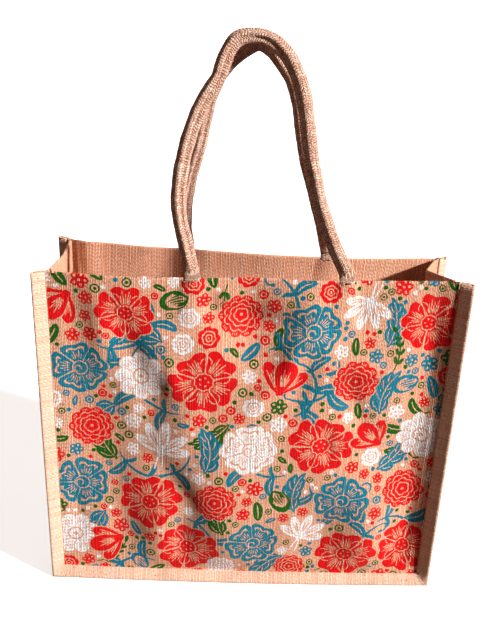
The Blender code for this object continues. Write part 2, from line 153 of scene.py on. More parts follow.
# Section of the folded binding: reach past the seam in mm, and offset through the flange in layers.
BINDING_SECTION = (
    (0.4, -1.06), (1.2, -1.02), (3.0, -1.00), (5.0, -1.02), (7.0, -1.00), (9.0, -1.00), (11.2, -1.00),
    (12.6, -0.96), (13.3, -0.60), (13.5, 0.50), (13.3, 1.60), (12.6, 1.96), (11.2, 2.00), (9.0, 2.00),
    (6.5, 2.00), (4.5, 2.02), (2.9, 2.04),
)

# Where a panel's skins lie in its bake map: size and start of the outer one, and height of the inner one.
BAKE_SIZE, BAKE_START = (0.99, 0.655), (0.005, 0.004)
BAKE_INNER_SIZE, BAKE_INNER_START = 0.33, 0.665

# Stage: radius of the flat floor, radius of its bend, height of the backdrop, points round it.
FLOOR = (1.9, 1.2, 3.4, 72)
FLOOR_DROP, FLOOR_GLOW = 0.0004, 0.66
KEY_PLACE, BACK_LIGHT_PLACE = (1.507, -0.858, 1.058), (-0.25, 1.66, 1.20)
LIGHTS_AIM = (0.0, -0.04, 0.24)
FILL_COLOUR = (1.0, 0.68, 0.54, 1.0)

# Camera: focal length and height of the photograph in its pixels, pitch, yaw and roll in degrees, place.
FOCUS, PHOTO_HEIGHT = 738.0, 618
CAMERA_TURNS = (22.46, 1.60, 2.58)
CAMERA_PLACE = (-0.024, -0.702, 0.593)


# ---------------------------------------------------------------- settings

def length_property(name, description, default):
    return FloatProperty(name=name, description=description, default=default, min=0.0,
                         precision=4, subtype="DISTANCE", unit="LENGTH")


def colour_property(name, description, default):
    return FloatVectorProperty(name=name, description=description, default=default, min=0.0,
                               max=1.0, size=3, subtype="COLOR")


RIM_FROM_FRAME = round(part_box("front_panel")[1][2], 4)


class BagSizes(bpy.types.PropertyGroup):
    """Sizes of the bag's cloth"""

    rim_height: length_property("Rim height", "Floor to the top of the front rim", RIM_FROM_FRAME)
    seam_half_width: length_property("Half width", "Middle of the bag to the side seams", 0.196)
    half_depth: length_property("Half depth", "Middle of the bag to the seams at the base", 0.052)
    cloth: length_property("Cloth", "Thickness of one layer of burlap", 0.0012)
    layer_gap: length_property("Layer gap", "Air between layers that lie on each other", 0.0004)
    flange: length_property("Flange", "How far the bound seam stands out", 0.014)
    panel_edge: length_property("Seam allowance", "How far the panels reach into the flange", 0.011)
    hem_depth: length_property("Hem depth", "Depth of the turned-in hem", 0.040)
    hem_gap: length_property("Hem gap", "Pitch of the hem's two layers", 0.0020)
    roll_radius: length_property("Roll radius", "Radius of the rolled handles", 0.0072)
    rib_pitch: length_property("Rib pitch", "Distance between the cloth's upright ribs", 0.00165)
    mesh_step: length_property("Mesh step", "Spacing of the cloth's points", 0.0045)


class BagColours(bpy.types.PropertyGroup):
    """Colours of the jute, the tape and the inks"""

    burlap_light: colour_property("Burlap, light", "Top of a bright yarn", (0.82, 0.455, 0.31))
    burlap_middle: colour_property("Burlap, middle", "Most of the yarns", (0.69, 0.318, 0.196))
    # Burlap, dark: the dark fibres, and also the painted shade in the gaps between the yarns.
    burlap_dark_and_gap_shade: colour_property("Burlap, dark", "Dark fibres and the gaps", (0.20, 0.070, 0.032))
    tape_light: colour_property("Tape, light", "Top of a bright yarn of the binding", (0.88, 0.60, 0.46))
    tape_middle: colour_property("Tape, middle", "Most of the binding's yarns", (0.76, 0.43, 0.30))
    webbing_light: colour_property("Webbing, light", "Top of a cord of the handles", (0.88, 0.61, 0.49))
    webbing_middle: colour_property("Webbing, middle", "Most of the cords", (0.70, 0.405, 0.30))
    # Webbing, dark: dark fibres, and also the painted shade between the cords of the handles.
    webbing_dark_and_gap_shade: colour_property("Webbing, dark", "Between the cords of the handles", (0.13, 0.048, 0.024))
    red: colour_property("Red ink", "Print colour", (0.74, 0.002, 0.006))
    teal: colour_property("Teal ink", "Print colour", (0.002, 0.185, 0.270))
    green: colour_property("Green ink", "Print colour", (0.003, 0.100, 0.005))
    white: colour_property("White ink", "Print colour", (0.86, 0.82, 0.83))


class BagPrint(bpy.types.PropertyGroup):
    """How the print is laid out and how it takes to the weave"""

    seed: IntProperty(name="Filler seed", description="Seed of the small motifs' places", default=11, min=0)
    clearance: length_property("Clearance", "Bare cloth kept round a small motif", 0.0011)
    ragged: length_property("Ragged edge", "How far an inked edge strays from rib to rib", 0.00042)


class BagStage(bpy.types.PropertyGroup):
    """Lights and floor"""

    key: FloatProperty(name="Key", default=7.6, min=0.0,
                       description="Strength of the key light, in watts a square metre")
    key_size: FloatProperty(name="Key size", description="How wide the key light looks from the bag",
                            default=radians(4), min=0.0, subtype="ANGLE", unit="ROTATION")
    back: FloatProperty(name="Back light", default=1.6, min=0.0,
                        description="Strength of the soft light behind, in watts a square metre")
    fill: FloatProperty(name="Fill", description="Strength of the surrounding light", default=0.13, min=0.0)
    floor: colour_property("Floor", "Colour of the floor and backdrop", (0.86, 0.855, 0.85))


# ---------------------------------------------------------------- shape of the bag

def smooth(t):
    """Eased step from 0 to 1."""
    t = np.clip(t, 0.0, 1.0)
    return t * t * (3 - 2 * t)


def curve_through(rows, at, column=1):
    """Smooth value of a table's column at values of its first column."""
    xs = np.array([row[0] for row in rows], float)
    ys = np.array([row[column] for row in rows], float)
    at = np.clip(np.asarray(at, float), xs[0], xs[-1])
    k = np.clip(np.searchsorted(xs, at, side="right") - 1, 0, len(xs) - 2)
    places = np.arange(len(xs))
    low, high = np.maximum(places - 1, 0), np.minimum(places + 1, len(xs) - 1)
    slopes = (ys[high] - ys[low]) / (xs[high] - xs[low])
    span = xs[k + 1] - xs[k]
    t = (at - xs[k]) / span
    return (((2 * t - 3) * t * t + 1) * ys[k] + ((t - 2) * t + 1) * t * slopes[k] * span
            + (3 - 2 * t) * t * t * ys[k + 1] + (t - 1) * t * t * slopes[k + 1] * span)


def stack(x, y, z):
    """Points from their coordinates, each an array or one number."""
    return np.stack(np.broadcast_arrays(np.asarray(x, float), y, z), -1)


def run_lengths(points):
    """Distance along a line of points, from its first one to each."""
    return np.concatenate([[0], np.cumsum(np.linalg.norm(np.diff(points, axis=0), axis=1))])


def unit(vectors):
    """Rows of vectors, each brought to length 1."""
    return vectors / (np.linalg.norm(vectors, axis=1)[:, None] + 1e-12)


class BagShape:
    """Where each layer of cloth lies, worked out from the bag's sizes."""

    FLANGE_TURN = radians(30)   # how far the flange turns to the front or the back
    FLANGE_SHORT = 0.0004       # the flange ends this far under the rim
    BASE_BOW = 0.003            # how far the base seams bow out in their middle
    BELLY_LIFT = 0.85           # under 1, the belly's crown lies below half height
    SIDE_FADE, FOOT_FADE = 0.022, 0.018         # folds die out this close to the side and base seams
    CREASE_BEND = 0.0016        # how much a crease curves along its length
    RIPPLE = 0.00016            # height of the faint waves all over a panel

    HEM_FADE = 0.014            # the ridge over a tail dies out this far below the hem
    HEM_SIDE = 0.187            # the hem stops this far from the middle
    HEM_SIDE_FADE = 0.008       # the fold's ends flatten out over this width
    HEM_SHORT, HEM_LOW = 0.0006, 0.001          # the hem is this much shorter in the cut, longer on the bag
    EASE = 0.040                # further than this under the rim, heights in the cut are those on the bag
    CUT_FOLD = 0.0031           # height that the fold takes up in the cut

    TAIL_OPENING, RIM_OPENING = 0.0030, 0.0050  # extra pitch of the layers over a tail, and more at the rim
    RIM_FADE = 0.010            # depth over which the extra at the rim dies out
    OUTER_SHARE = 0.6           # share of the opening that the outer layer takes
    MOUTH_REACH, TAIL_REACH = 0.0094, 0.0145    # half widths of the opening, at the rim and under it
    SLIT_HALF = 0.0081          # half the slit in the fold that lets a handle out
    ARCH_SIDE = 0.0076          # how far the top of each handle stands from the middle of the bag

    GUSSET_MARGIN = 0.004       # how far the gusset's walls and base end inside the panels
    GUSSET_INSET = 0.0015       # how far its walls stay inside the side seams
    GUSSET_PUFF, GUSSET_WAVE = 0.0035, 0.0007   # how far a wall bellies out and waves
    GUSSET_SAG = 0.0012         # how far a wall's rim sags in its middle
    BASE_FLAT, BASE_RISE = 0.42, 0.62           # shares of the base that lie flat, and that rise to a seam
    BASE_UNDER = 0.0012         # the base's edges end this far under the seams

    def __init__(self, size):
        self.half = size.seam_half_width
        self.cloth = size.cloth
        self.layer = size.cloth + size.layer_gap
        self.edge = size.panel_edge
        self.hem_gap = size.hem_gap
        self.hem_depth = size.hem_depth
        self.depth = size.half_depth
        self.rim = size.rim_height
        self.step = size.mesh_step
        self.roll = size.roll_radius
        self.rib_pitch = size.rib_pitch
        self.seam_z = size.flange * cos(self.FLANGE_TURN) + 0.0001
        self.fold_v = self.rim - self.cloth / 2 - self.hem_gap / 2 - self.seam_z
        self.top_v = self.fold_v + self.CUT_FOLD + self.hem_depth - self.HEM_SHORT

    def rim_y(self, side, x):
        return curve_through(RIMS[side], np.asarray(x) / MM) * MM

    def rim_z(self, side, x):
        return self.rim - curve_through(RIMS[side], np.asarray(x) / MM, 2) * MM

    def share_up(self, side, x, z):
        """Share of the height from the base seam, 0, to the rim, 1."""
        return np.clip((z - self.seam_z) / (self.rim_z(side, x) - self.seam_z), 0.0, 1.0)

    def seam_y(self, side, x, z):
        """Depth of the straight cloth between the base seam and the rim."""
        foot = side * (self.depth + self.BASE_BOW * (1 - (x / self.half) ** 2))
        return foot + self.share_up(side, x, z) * (self.rim_y(side, x) - foot)

    def panel_y(self, side, x, z):
        """Middle of a panel's outer layer, without the opening over the handles' tails."""
        x = np.clip(x, -self.half, self.half)
        up = self.share_up(side, x, z)
        belly = curve_through(BELLIES[side], x / MM) * BULGE[side] * np.sin(pi * up ** self.BELLY_LIFT)
        edge = smooth((self.half - np.abs(x)) / self.SIDE_FADE) * smooth((z - self.seam_z) / self.FOOT_FADE)
        dents = 0.0
        for at_x, at_z, half_width, half_height, depth in DENTS[side]:
            reach = ((x / MM - at_x) / half_width) ** 2 + ((z / MM - at_z) / half_height) ** 2
            dents = dents + depth * MM * np.exp(-reach)
        for at_x, at_z, half_length, half_width, degrees, depth in CREASES[side]:
            turn = radians(degrees)
            along = (x / MM - at_x) * cos(turn) + (z / MM - at_z) * sin(turn)
            across = (z / MM - at_z) * cos(turn) - (x / MM - at_x) * sin(turn)
            across = across + self.CREASE_BEND * along ** 2 * (1 if at_x > 0 else -1)
            dents = dents + depth * MM * np.exp(-(along / half_length) ** 2 - (across / half_width) ** 2)
        ripple = self.RIPPLE * (np.sin(x * 96 + z * 31 + side) + np.sin(z * 83 - x * 44 + 1.7 * side))
        return self.seam_y(side, x, z) + side * (belly - edge * (dents + ripple))

    @staticmethod
    def foot_distance(side, x):
        """How far the nearer foot of the handle is."""
        return np.minimum(*[np.abs(x - foot) for foot in FEET[side]])

    def opening(self, side, x, depth):
        """Extra pitch of the hem's layers over a handle's tail, at a depth under the rim."""
        close = np.exp(-np.maximum(depth, 0.0) / self.RIM_FADE)
        reach = self.TAIL_REACH + (self.MOUTH_REACH - self.TAIL_REACH) * close
        lens = 1 - (self.foot_distance(side, x) / reach) ** 2
        lens = (lens + np.sqrt(lens * lens + 0.02)) / 2
        fade = 1 - smooth((depth - self.hem_depth) / self.HEM_FADE)
        return lens * fade * (self.TAIL_OPENING + self.RIM_OPENING * close)

    def outer_y(self, side, x, z):
        """Middle of a panel's outer layer."""
        opened = self.opening(side, x, self.rim_z(side, x) - z)
        return self.panel_y(side, x, z) + side * self.OUTER_SHARE * opened

    def inner_y(self, side, x, z):
        """Middle of the hem's turned-in layer."""
        opened = self.opening(side, x, self.rim_z(side, x) - z)
        return self.panel_y(side, x, z) - side * (self.hem_gap + (1 - self.OUTER_SHARE) * opened)

    def panel_place(self, side, u, v):
        """Middle of a panel's cloth at a place of its flat cut: u across, v up from the base seam."""
        u, v = np.asarray(u, float), np.asarray(v, float)
        reach = np.maximum(np.abs(u) - self.half, 0.0)
        drop = np.maximum(-v, 0.0)
        x = np.clip(u, -self.half, self.half)
        rim = self.rim_z(side, x)
        hemmed = smooth((self.half - np.abs(x)) / self.HEM_SIDE_FADE)
        radius = (self.hem_gap + self.opening(side, x, 0.0)) / 2 * hemmed
        start = rim - self.cloth / 2 - radius
        lip = np.clip(1 - (self.foot_distance(side, x) / self.SLIT_HALF) ** 2, 0.0, 1.0)
        edge_top = start + radius * lip
        free = self.fold_v - self.EASE
        rise = np.clip((v - free) / self.EASE, 0.0, 1.0)
        z = np.where(v <= free, self.seam_z + np.maximum(v, 0.0),
                     self.seam_z + free + rise * (edge_top - self.seam_z - free))
        y = self.outer_y(side, x, z)
        y = y + side * np.maximum(reach, drop) * sin(self.FLANGE_TURN)
        turned = np.clip((v - self.fold_v) / self.CUT_FOLD, 0.0, 1.0) * pi
        out, back = self.outer_y(side, x, start), self.inner_y(side, x, start)
        folding = (turned > 0) & (turned < pi)
        y = np.where(folding, (out + back) / 2 + np.cos(turned) * (out - back) / 2, y)
        z = np.where(folding, start + radius * np.sin(turned), z)
        under = (v - self.fold_v - self.CUT_FOLD) / (self.top_v - self.fold_v - self.CUT_FOLD)
        under = np.clip(under, 0.0, 1.0)
        hem_z = edge_top + under * (rim - self.hem_depth - self.HEM_LOW - edge_top)
        y = np.where(turned >= pi, self.inner_y(side, x, hem_z), y)
        z = np.where(turned >= pi, hem_z, z)
        x = x + np.sign(u) * reach * cos(self.FLANGE_TURN)
        return stack(x, y, z - drop * cos(self.FLANGE_TURN))

    def gusset_wall(self, hand, share, z, inward=0.0):
        """A point of the gusset's side wall; hand is LEFT or RIGHT."""
        seam_x = hand * self.half
        front = self.seam_y(FRONT, seam_x, z) + self.GUSSET_MARGIN
        back = self.seam_y(BACK, seam_x, z) - self.GUSSET_MARGIN
        up = np.clip(z / self.rim, 0.0, 1.0)
        fold = 1 - np.abs(2 * share - 1) ** 1.1
        depth = CREASE_IN[hand] * up ** (1.3 if hand == RIGHT else 2)
        puff = self.GUSSET_PUFF * np.sin(pi * up) * (1 - (2 * share - 1) ** 2)
        wave = self.GUSSET_WAVE * np.sin(z * 61 + share * 5 + hand) * np.sin(pi * share) * np.sin(pi * up)
        x = hand * (self.half - self.GUSSET_INSET - inward - depth * fold + puff + wave)
        return stack(x, front + share * (back - front), z)

    def base_z(self, share):
        """Middle of the base cloth, flat in the middle and lifted to the seams."""
        low, high = self.cloth / 2, self.seam_z - self.BASE_UNDER
        return low + (high - low) * smooth((np.abs(2 * share - 1) - self.BASE_FLAT) / self.BASE_RISE)

    def flange_point(self, side, hand, reach, x, z, layer, kind):
        """A point in the flange; layer is its offset through the flange towards the bag's inside."""
        y = self.seam_y(side, x, z) + side * (reach * sin(self.FLANGE_TURN) - layer / cos(self.FLANGE_TURN))
        if kind != "base":
            x = x + hand * reach * cos(self.FLANGE_TURN)
        if kind != "side":
            z = z - reach * cos(self.FLANGE_TURN)
        return stack(x, y, z)

    def gusset_rim(self, hand, share):
        """Height of the gusset's rim, which runs from the front rim's corner to the back one's."""
        front, back = self.rim_z(FRONT, hand * self.half), self.rim_z(BACK, hand * self.half)
        return front + share * (back - front) - self.GUSSET_SAG * (1 - np.abs(2 * share - 1))

    def handle_y(self, side, z, foot_x):
        """Depth of a handle's middle: from its rim it leans in to meet the other handle at the top."""
        rim = self.rim_z(side, foot_x)
        foot = (self.outer_y(side, foot_x, rim) + self.inner_y(side, foot_x, rim)) / 2
        top = max(row[1] for row in ROUTES[side]) * MM
        return foot + (side * self.ARCH_SIDE - foot) * np.clip((z - rim) / (top - rim), 0.0, 1.0)


# ---------------------------------------------------------------- print

# Large motifs of the print: kind, x, z, size, turn, ink.
MAIN_MOTIFS = (
    ("tulip", -176, 336, 34, 230, "red"), ("open flower", -122, 318, 29, 15, "red"),
    ("bell", -62, 338, 29, 200, "green"), ("rosette", -12, 316, 22, 0, "red"),
    ("lined flower", 58, 306, 29, 40, "teal"), ("lily", 112, 336, 32, 250, "white"),
    ("open flower", 172, 312, 30, 10, "red"), ("lined flower", -168, 256, 29, 30, "teal"),
    ("daisy", -108, 250, 26, 0, "white"), ("open flower", -46, 250, 34, 50, "red"),
    ("tulip", 28, 240, 36, 75, "red"), ("rosette", 104, 252, 23, 0, "red"),
    ("bell", 170, 250, 30, 190, "teal"), ("rosette", -160, 188, 23, 0, "red"),
    ("lily", -88, 166, 37, 80, "white"), ("lined flower", 2, 176, 29, 20, "white"),
    ("open flower", 74, 180, 34, 0, "red"), ("tulip", 136, 176, 33, 130, "red"),
    ("daisy", 180, 186, 26, 10, "white"), ("lined flower", -172, 120, 30, 0, "teal"),
    ("open flower", -100, 104, 33, 30, "red"), ("rosette", -32, 112, 23, 0, "red"),
    ("bell", 28, 126, 31, 300, "green"), ("lined flower", 102, 112, 30, 45, "teal"),
    ("rosette", 168, 120, 23, 0, "red"), ("daisy", -182, 54, 26, 20, "white"),
    ("tulip", -132, 50, 35, 200, "red"), ("open flower", -60, 44, 33, 10, "red"),
    ("lined flower", 10, 56, 29, 60, "teal"), ("lily", 60, 62, 33, 70, "white"),
    ("open flower", 112, 40, 33, 20, "red"), ("open flower", 176, 46, 31, 40, "red"),
    ("rosette", 52, 20, 17, 0, "red"), ("bell", -104, 12, 24, 130, "teal"),
    ("rosette", -24, 20, 16, 0, "white"),
)

# Stems with leaves, under the flowers: kind, x, z, length, turn, bend, ink.
STEMS = (
    ("frond", -86, 290, 56, 150, 70, "teal"), ("scroll", -150, 284, 96, -30, 150, "teal"),
    ("frond", 22, 284, 52, 60, -60, "green"), ("scroll", 16, 284, 100, 20, 140, "teal"),
    ("sprig", -26, 350, 44, 250, 60, "green"), ("frond", 132, 288, 54, 60, 60, "teal"),
    ("scroll", 84, 276, 84, -70, -140, "teal"), ("sprig", 140, 262, 44, 60, 60, "green"),
    ("frond", -132, 216, 58, 200, 70, "teal"), ("scroll", -70, 214, 110, 190, -150, "teal"),
    ("frond", -20, 206, 50, 240, -60, "green"), ("scroll", 44, 214, 84, 20, 150, "teal"),
    ("frond", 132, 214, 54, 100, -60, "teal"), ("scroll", 186, 214, 70, 200, 120, "green"),
    ("frond", -134, 150, 56, 140, -60, "green"), ("scroll", -132, 160, 100, -70, 150, "teal"),
    ("frond", -44, 148, 56, 60, 70, "teal"), ("scroll", 40, 146, 96, 200, -150, "teal"),
    ("frond", 136, 146, 52, 20, 60, "teal"), ("scroll", 66, 132, 90, -80, 150, "teal"),
    ("frond", -148, 86, 56, 230, 60, "teal"), ("scroll", -62, 84, 88, -10, -140, "teal"),
    ("frond", 52, 98, 54, 110, -60, "teal"), ("scroll", 142, 86, 84, 20, -150, "teal"),
    ("frond", -22, 70, 52, 120, -60, "green"), ("scroll", -96, 24, 92, 160, 140, "teal"),
    ("frond", 44, 36, 54, 200, 60, "teal"), ("scroll", 144, 20, 84, 160, -150, "teal"),
    ("sprig", 80, 14, 46, 20, 60, "green"), ("sprig", -160, 18, 44, 10, 60, "green"),
)

# Small motifs in the order in which they fill the gaps: kind, radius, tries, inks.
FILLERS = (
    ("leaf", 12.5, 260, ("teal", "green")),
    ("rosette", 11.0, 400, ("red", "white", "red")),
    ("leaf", 9.5, 500, ("green", "teal", "green")),
    ("blossom", 9.2, 1600, ("red", "red", "white", "teal", "green")),
    ("blossom", 7.6, 2600, ("red", "red", "white", "red", "teal")),
    ("leaf", 6.6, 1400, ("green", "teal", "green")),
    ("blossom", 6.2, 2600, ("red", "white", "red")),
    ("ring", 4.8, 3200, ("green", "red", "teal", "red", "green")),
    ("ring", 3.7, 4200, ("red", "green", "teal", "green")),
    ("dot", 2.3, 5200, ("red", "green", "white", "teal")),
)


def circle(x, y, radius, wide=1.0, turn=0.0, spacing=1.15):
    """Round or oval outline; wide is its length along turn as a share of its breadth."""
    count = max(9, ceil(tau * radius * max(wide, 1.0) / spacing))
    angle = np.arange(count) * tau / count
    points = np.stack([radius * wide * np.cos(angle), radius * np.sin(angle)], -1)
    return turned(points, turn) + (x, y)


def turned(points, turn):
    return np.asarray(points, float) @ np.array([[cos(turn), sin(turn)], [-sin(turn), cos(turn)]])


def petal(length, width, shape=1.6, notch=0.0, frill=0.0, start=0.0):
    """Petal along +X from the flower's middle; notch dips its tip and frill waves its edge."""
    t = np.linspace(0.0, 1.0, max(8, ceil(length / 1.3)))
    half = width / 2 * np.sin(pi * t ** shape) ** 0.62
    ripple = 1 + frill * np.sin(t * 15 + length)
    x = start + (length - start) * (1 - (1 - t) ** 1.25)
    upper = np.stack([x, half * ripple], -1)
    lower = np.stack([x, -half * (2 - ripple)], -1)[-2:0:-1]
    points = np.concatenate([upper, lower])
    tip = np.exp(-(points[:, 1] / (0.2 * width)) ** 2) * smooth(points[:, 0] / length * 2 - 1)
    points[:, 0] -= notch * length * tip
    return points


def bent_line(length, bend, count=0):
    """Points along an arc that starts along +X and turns by bend."""
    count = count or max(6, ceil(abs(length) / 1.4))
    t = np.linspace(0.0, 1.0, count)
    if abs(bend) < 1e-3:
        return np.stack([t * length, t * 0], -1)
    radius = length / bend
    return np.stack([radius * np.sin(t * bend), radius * (1 - np.cos(t * bend))], -1)


def stroke(line, thick, taper=0.25):
    """Outline of a brush stroke along a line, thinner at its ends."""
    line = np.asarray(line, float)
    along = np.gradient(line, axis=0)
    along /= np.linalg.norm(along, axis=1)[:, None] + 1e-9
    aside = np.stack([-along[:, 1], along[:, 0]], -1)
    t = np.linspace(0.0, 1.0, len(line))
    half = thick / 2 * (taper + (1 - taper) * np.sin(pi * t) ** 0.5)[:, None]
    return np.concatenate([line + aside * half, (line - aside * half)[::-1]])


def scallop(radius, lobes, depth, turn=0.0):
    """Ruffled ring outline."""
    count = max(24, ceil(tau * radius / 1.2))
    angle = np.arange(count) * tau / count
    reach = radius * (1 - depth + depth * np.abs(np.cos(angle * lobes / 2 + turn)) ** 0.7)
    return np.stack([reach * np.cos(angle), reach * np.sin(angle)], -1)


class Motif(list):
    """Outlines in the order in which they are laid down, each with its ink, or None for bare cloth."""

    def __init__(self, colour):
        super().__init__()
        self.colour = colour

    def ink(self, outline, turn=0.0, place=(0, 0)):
        self.append((turned(outline, turn) + place, self.colour))

    def bare(self, outline, turn=0.0, place=(0, 0)):
        self.append((turned(outline, turn) + place, None))

    def hatch(self, fans, start, thick, turn):
        """Fine bare strokes that fan out: each fan is its turn and where it ends."""
        for fan, end in fans:
            line = bent_line(end - start, 0.2 * fan) + (start, 0)
            self.bare(turned(stroke(line, thick, 0.3), fan), turn)


PETALS = 5


def draw_blossom(motif, size):
    """Small flower of round petals, each with a bare fleck."""
    angles = [tau * k / PETALS + 0.3 for k in range(PETALS)]
    for a in angles:
        motif.ink(circle(0.60 * size * cos(a), 0.60 * size * sin(a), 0.40 * size))
    motif.ink(circle(0, 0, 0.42 * size))
    for a in angles:
        motif.bare(circle(0.62 * size * cos(a), 0.62 * size * sin(a), 0.125 * size, 1.5, a, 0.8))
    motif.bare(circle(0, 0, 0.15 * size, spacing=0.8))


def draw_ring(motif, size):
    """Ring round a dot, thinner in green."""
    bare, core = (0.66, 0.36) if motif.colour == "green" else (0.58, 0.40)
    motif.ink(circle(0, 0, size))
    motif.bare(circle(0, 0, bare * size))
    motif.ink(circle(0, 0, core * size))


def draw_dot(motif, size):
    motif.ink(circle(0, 0, size))


def draw_rosette(motif, size):
    """Round ruffled flower of rings of petals, the cloth showing between them."""
    large = size > 14
    lobes = 10 if large else 7
    motif.bare(scallop(1.06 * size, lobes, 0.14))
    motif.ink(scallop(size, lobes, 0.16))
    for k, share in enumerate((0.78, 0.57, 0.36) if large else (0.66, 0.36)):
        count = max(5, lobes - 2 * k - 1)
        motif.bare(scallop(share * size, count, 0.18, 0.6 * k))
        motif.ink(scallop(share * size - 1.3, count, 0.18, 0.6 * k))
    for k in range(lobes if large else 0):
        for fan in (-0.10, 0.0, 0.10):
            line = bent_line(0.11 * size, 0.1, 4) + (0.81 * size, 0)
            motif.bare(stroke(line, 0.9, 0.5), tau * k / lobes + fan)
    motif.bare(circle(0, 0, 0.05 * size + 0.4, spacing=0.8))


def draw_open_flower(motif, size):
    """Open flower of solid notched petals, finely hatched in bare cloth, and a solid heart."""
    motif.bare(circle(0, 0, 0.80 * size, spacing=2.5))
    for k in range(PETALS):
        a = tau * k / PETALS
        length, width = size * (1.0 + 0.07 * sin(2.4 * k + size)), 0.94 * size
        motif.bare(petal(length + 1.3, width + 2.8, 1.9, 0.14, 0.04), a)
        motif.ink(petal(length, width, 1.9, 0.14, 0.04), a)
        ends = (0.52, 0.68, 0.80, 0.72, 0.82, 0.66, 0.54)
        fans = [(0.115 * (j - 3) + 0.03 * sin(5 * j + k), end * length) for j, end in enumerate(ends)]
        motif.hatch(fans, 0.33 * length, 0.036 * size, a)
        for fan in (-0.36, 0.34):
            arc = bent_line(0.30 * size, 1.5 * np.sign(fan)) + (0.56 * length, 0)
            motif.bare(stroke(arc, 0.032 * size, 0.3), a + fan)
    motif.bare(scallop(0.30 * size, PETALS * 2, 0.12))
    motif.ink(scallop(0.26 * size, PETALS * 2, 0.12))
    for k in range(5):
        a = tau * k / 5 + 0.4
        motif.bare(circle(0.13 * size * cos(a), 0.13 * size * sin(a), 0.030 * size, spacing=0.7))


def draw_lined_flower(motif, size):
    """Open flower of outlined petals, each round a smaller petal that is hatched in bare cloth."""
    motif.bare(circle(0, 0, 0.80 * size, spacing=2.5))
    for k in range(PETALS):
        a = tau * k / PETALS
        length = size * (1.0 + 0.06 * sin(1.9 * k + size))
        motif.bare(petal(length + 1.3, 0.98 * size + 2.6, 1.9, 0.12, 0.03), a)
        motif.ink(petal(length, 0.98 * size, 1.9, 0.12, 0.03), a)
        motif.bare(petal(0.84 * length, 0.64 * size, 1.6, 0.14, 0.05, 0.38 * length), a)
        motif.ink(petal(0.76 * length, 0.52 * size, 1.6, 0.14, 0.05, 0.34 * length), a)
        fans = [(0.16 * (j - 2), end * length) for j, end in enumerate((0.56, 0.66, 0.60, 0.68, 0.54))]
        motif.hatch(fans, 0.36 * length, 0.034 * size, a)
    motif.bare(circle(0, 0, 0.27 * size))
    motif.ink(circle(0, 0, 0.23 * size))
    curl = turned(bent_line(0.62 * size, 5.2), 0.6) - (0.02 * size, 0.10 * size)
    motif.bare(stroke(curl, 0.045 * size, 0.6))


def draw_tulip(motif, size):
    """Cup of long petals along +X, each finely hatched in bare cloth."""
    for a, length, width in ((0.66, 0.98, 0.40), (-0.66, 0.94, 0.40), (0.0, 1.04, 0.60)):
        motif.bare(petal(length * size + 1.6, width * size + 2.6, 1.2), a)
        motif.ink(petal(length * size, width * size, 1.2), a)
        fans = [(0.10 * (j - 2), end * size) for j, end in enumerate((0.58, 0.74, 0.66, 0.76, 0.60))]
        motif.hatch(fans if width > 0.5 else fans[1:4], 0.26 * size, 0.036 * size, a)
    motif.ink(circle(0.06 * size, 0, 0.12 * size))


def draw_bell(motif, size):
    """Closed bud along +X: a crescent at its tip, and hatching in an outlined cup."""
    motif.ink(circle(0.52 * size, 0, 0.34 * size, 1.42))
    motif.bare(circle(0.44 * size, 0.02 * size, 0.25 * size, 1.45))
    for offset, reach in ((-0.14, 0.42), (-0.05, 0.54), (0.05, 0.50), (0.14, 0.40)):
        line = bent_line(reach * size, -1.2 * offset) + (0.16 * size, offset * size)
        motif.ink(stroke(line, 0.055 * size, 0.3))
    for a in (0.85, -0.85):
        motif.ink(stroke(bent_line(0.52 * size, -a), 0.10 * size, 0.15), a)


def draw_lily(motif, size):
    """Fan of pointed petals along +X, each with two bare ribs."""
    for a, length in ((-1.25, 0.80), (1.20, 0.84), (-0.66, 0.96), (0.62, 0.94), (0.0, 1.0)):
        motif.bare(petal(length * size * 1.05, 0.38 * size, 1.05), a)
        motif.ink(petal(length * size, 0.31 * size, 1.05), a)
        for fan in (-0.07, 0.07):
            line = bent_line(0.46 * length * size, fan) + (0.24 * size, 0)
            motif.bare(stroke(turned(line, a + fan), 0.045 * size, 0.2))
    for a in (-0.3, 0.3):
        motif.ink(stroke(bent_line(0.62 * size, -a), 0.05 * size, 0.6), a + pi)
    motif.ink(circle(0, 0, 0.12 * size))


def draw_daisy(motif, size):
    """Round flower of overlapping lobes with a ringed heart."""
    for k in range(8):
        a = tau * k / 8
        for share, lay in ((0.335, motif.bare), (0.30, motif.ink)):
            lay(circle(0.68 * size * cos(a), 0.68 * size * sin(a), share * size, 1.08, a))
        for fan in (-0.12, 0.04, 0.18):
            line = turned(bent_line(0.26 * size, 0.2) + (0.56 * size, 0), a + fan)
            motif.bare(stroke(line, 0.040 * size, 0.3))
    motif.ink(circle(0, 0, 0.42 * size))
    motif.bare(circle(0, 0, 0.33 * size))
    motif.ink(scallop(0.27 * size, 7, 0.2))
    motif.bare(circle(0, 0, 0.09 * size, spacing=0.8))


def draw_leaf(motif, size):
    """Pointed leaf along +X, centred, with a bare vein."""
    line = bent_line(2 * size, 0.5)
    line = line - line[len(line) // 2]
    motif.ink(stroke(line, 0.85 * size, 0.02))
    motif.bare(stroke(line[2:-3], 0.11 * size, 0.4))


def along_stem(line, share):
    """Place and heading at a share of a stem's length."""
    k = min(int(share * (len(line) - 1)), len(line) - 2)
    heading = line[k + 1] - line[k]
    return line[k], float(np.arctan2(heading[1], heading[0]))


def draw_sprig(motif, length, bend):
    """Thin bent stem with four pairs of small leaves and one at its tip."""
    line = bent_line(length, bend)
    motif.ink(stroke(line, 1.7, 0.5))
    for k, share in enumerate((0.22, 0.42, 0.62, 0.80)):
        place, heading = along_stem(line, share)
        for hand in (-1, 1):
            leaf = stroke(bent_line(9.5 - k, -0.7 * hand), 4.0 - 0.3 * k, 0.05)
            motif.ink(leaf, heading + hand * 0.85, place)
    place, heading = along_stem(line, 1.0)
    motif.ink(stroke(bent_line(9, 0.3), 4.2, 0.05), heading, place)


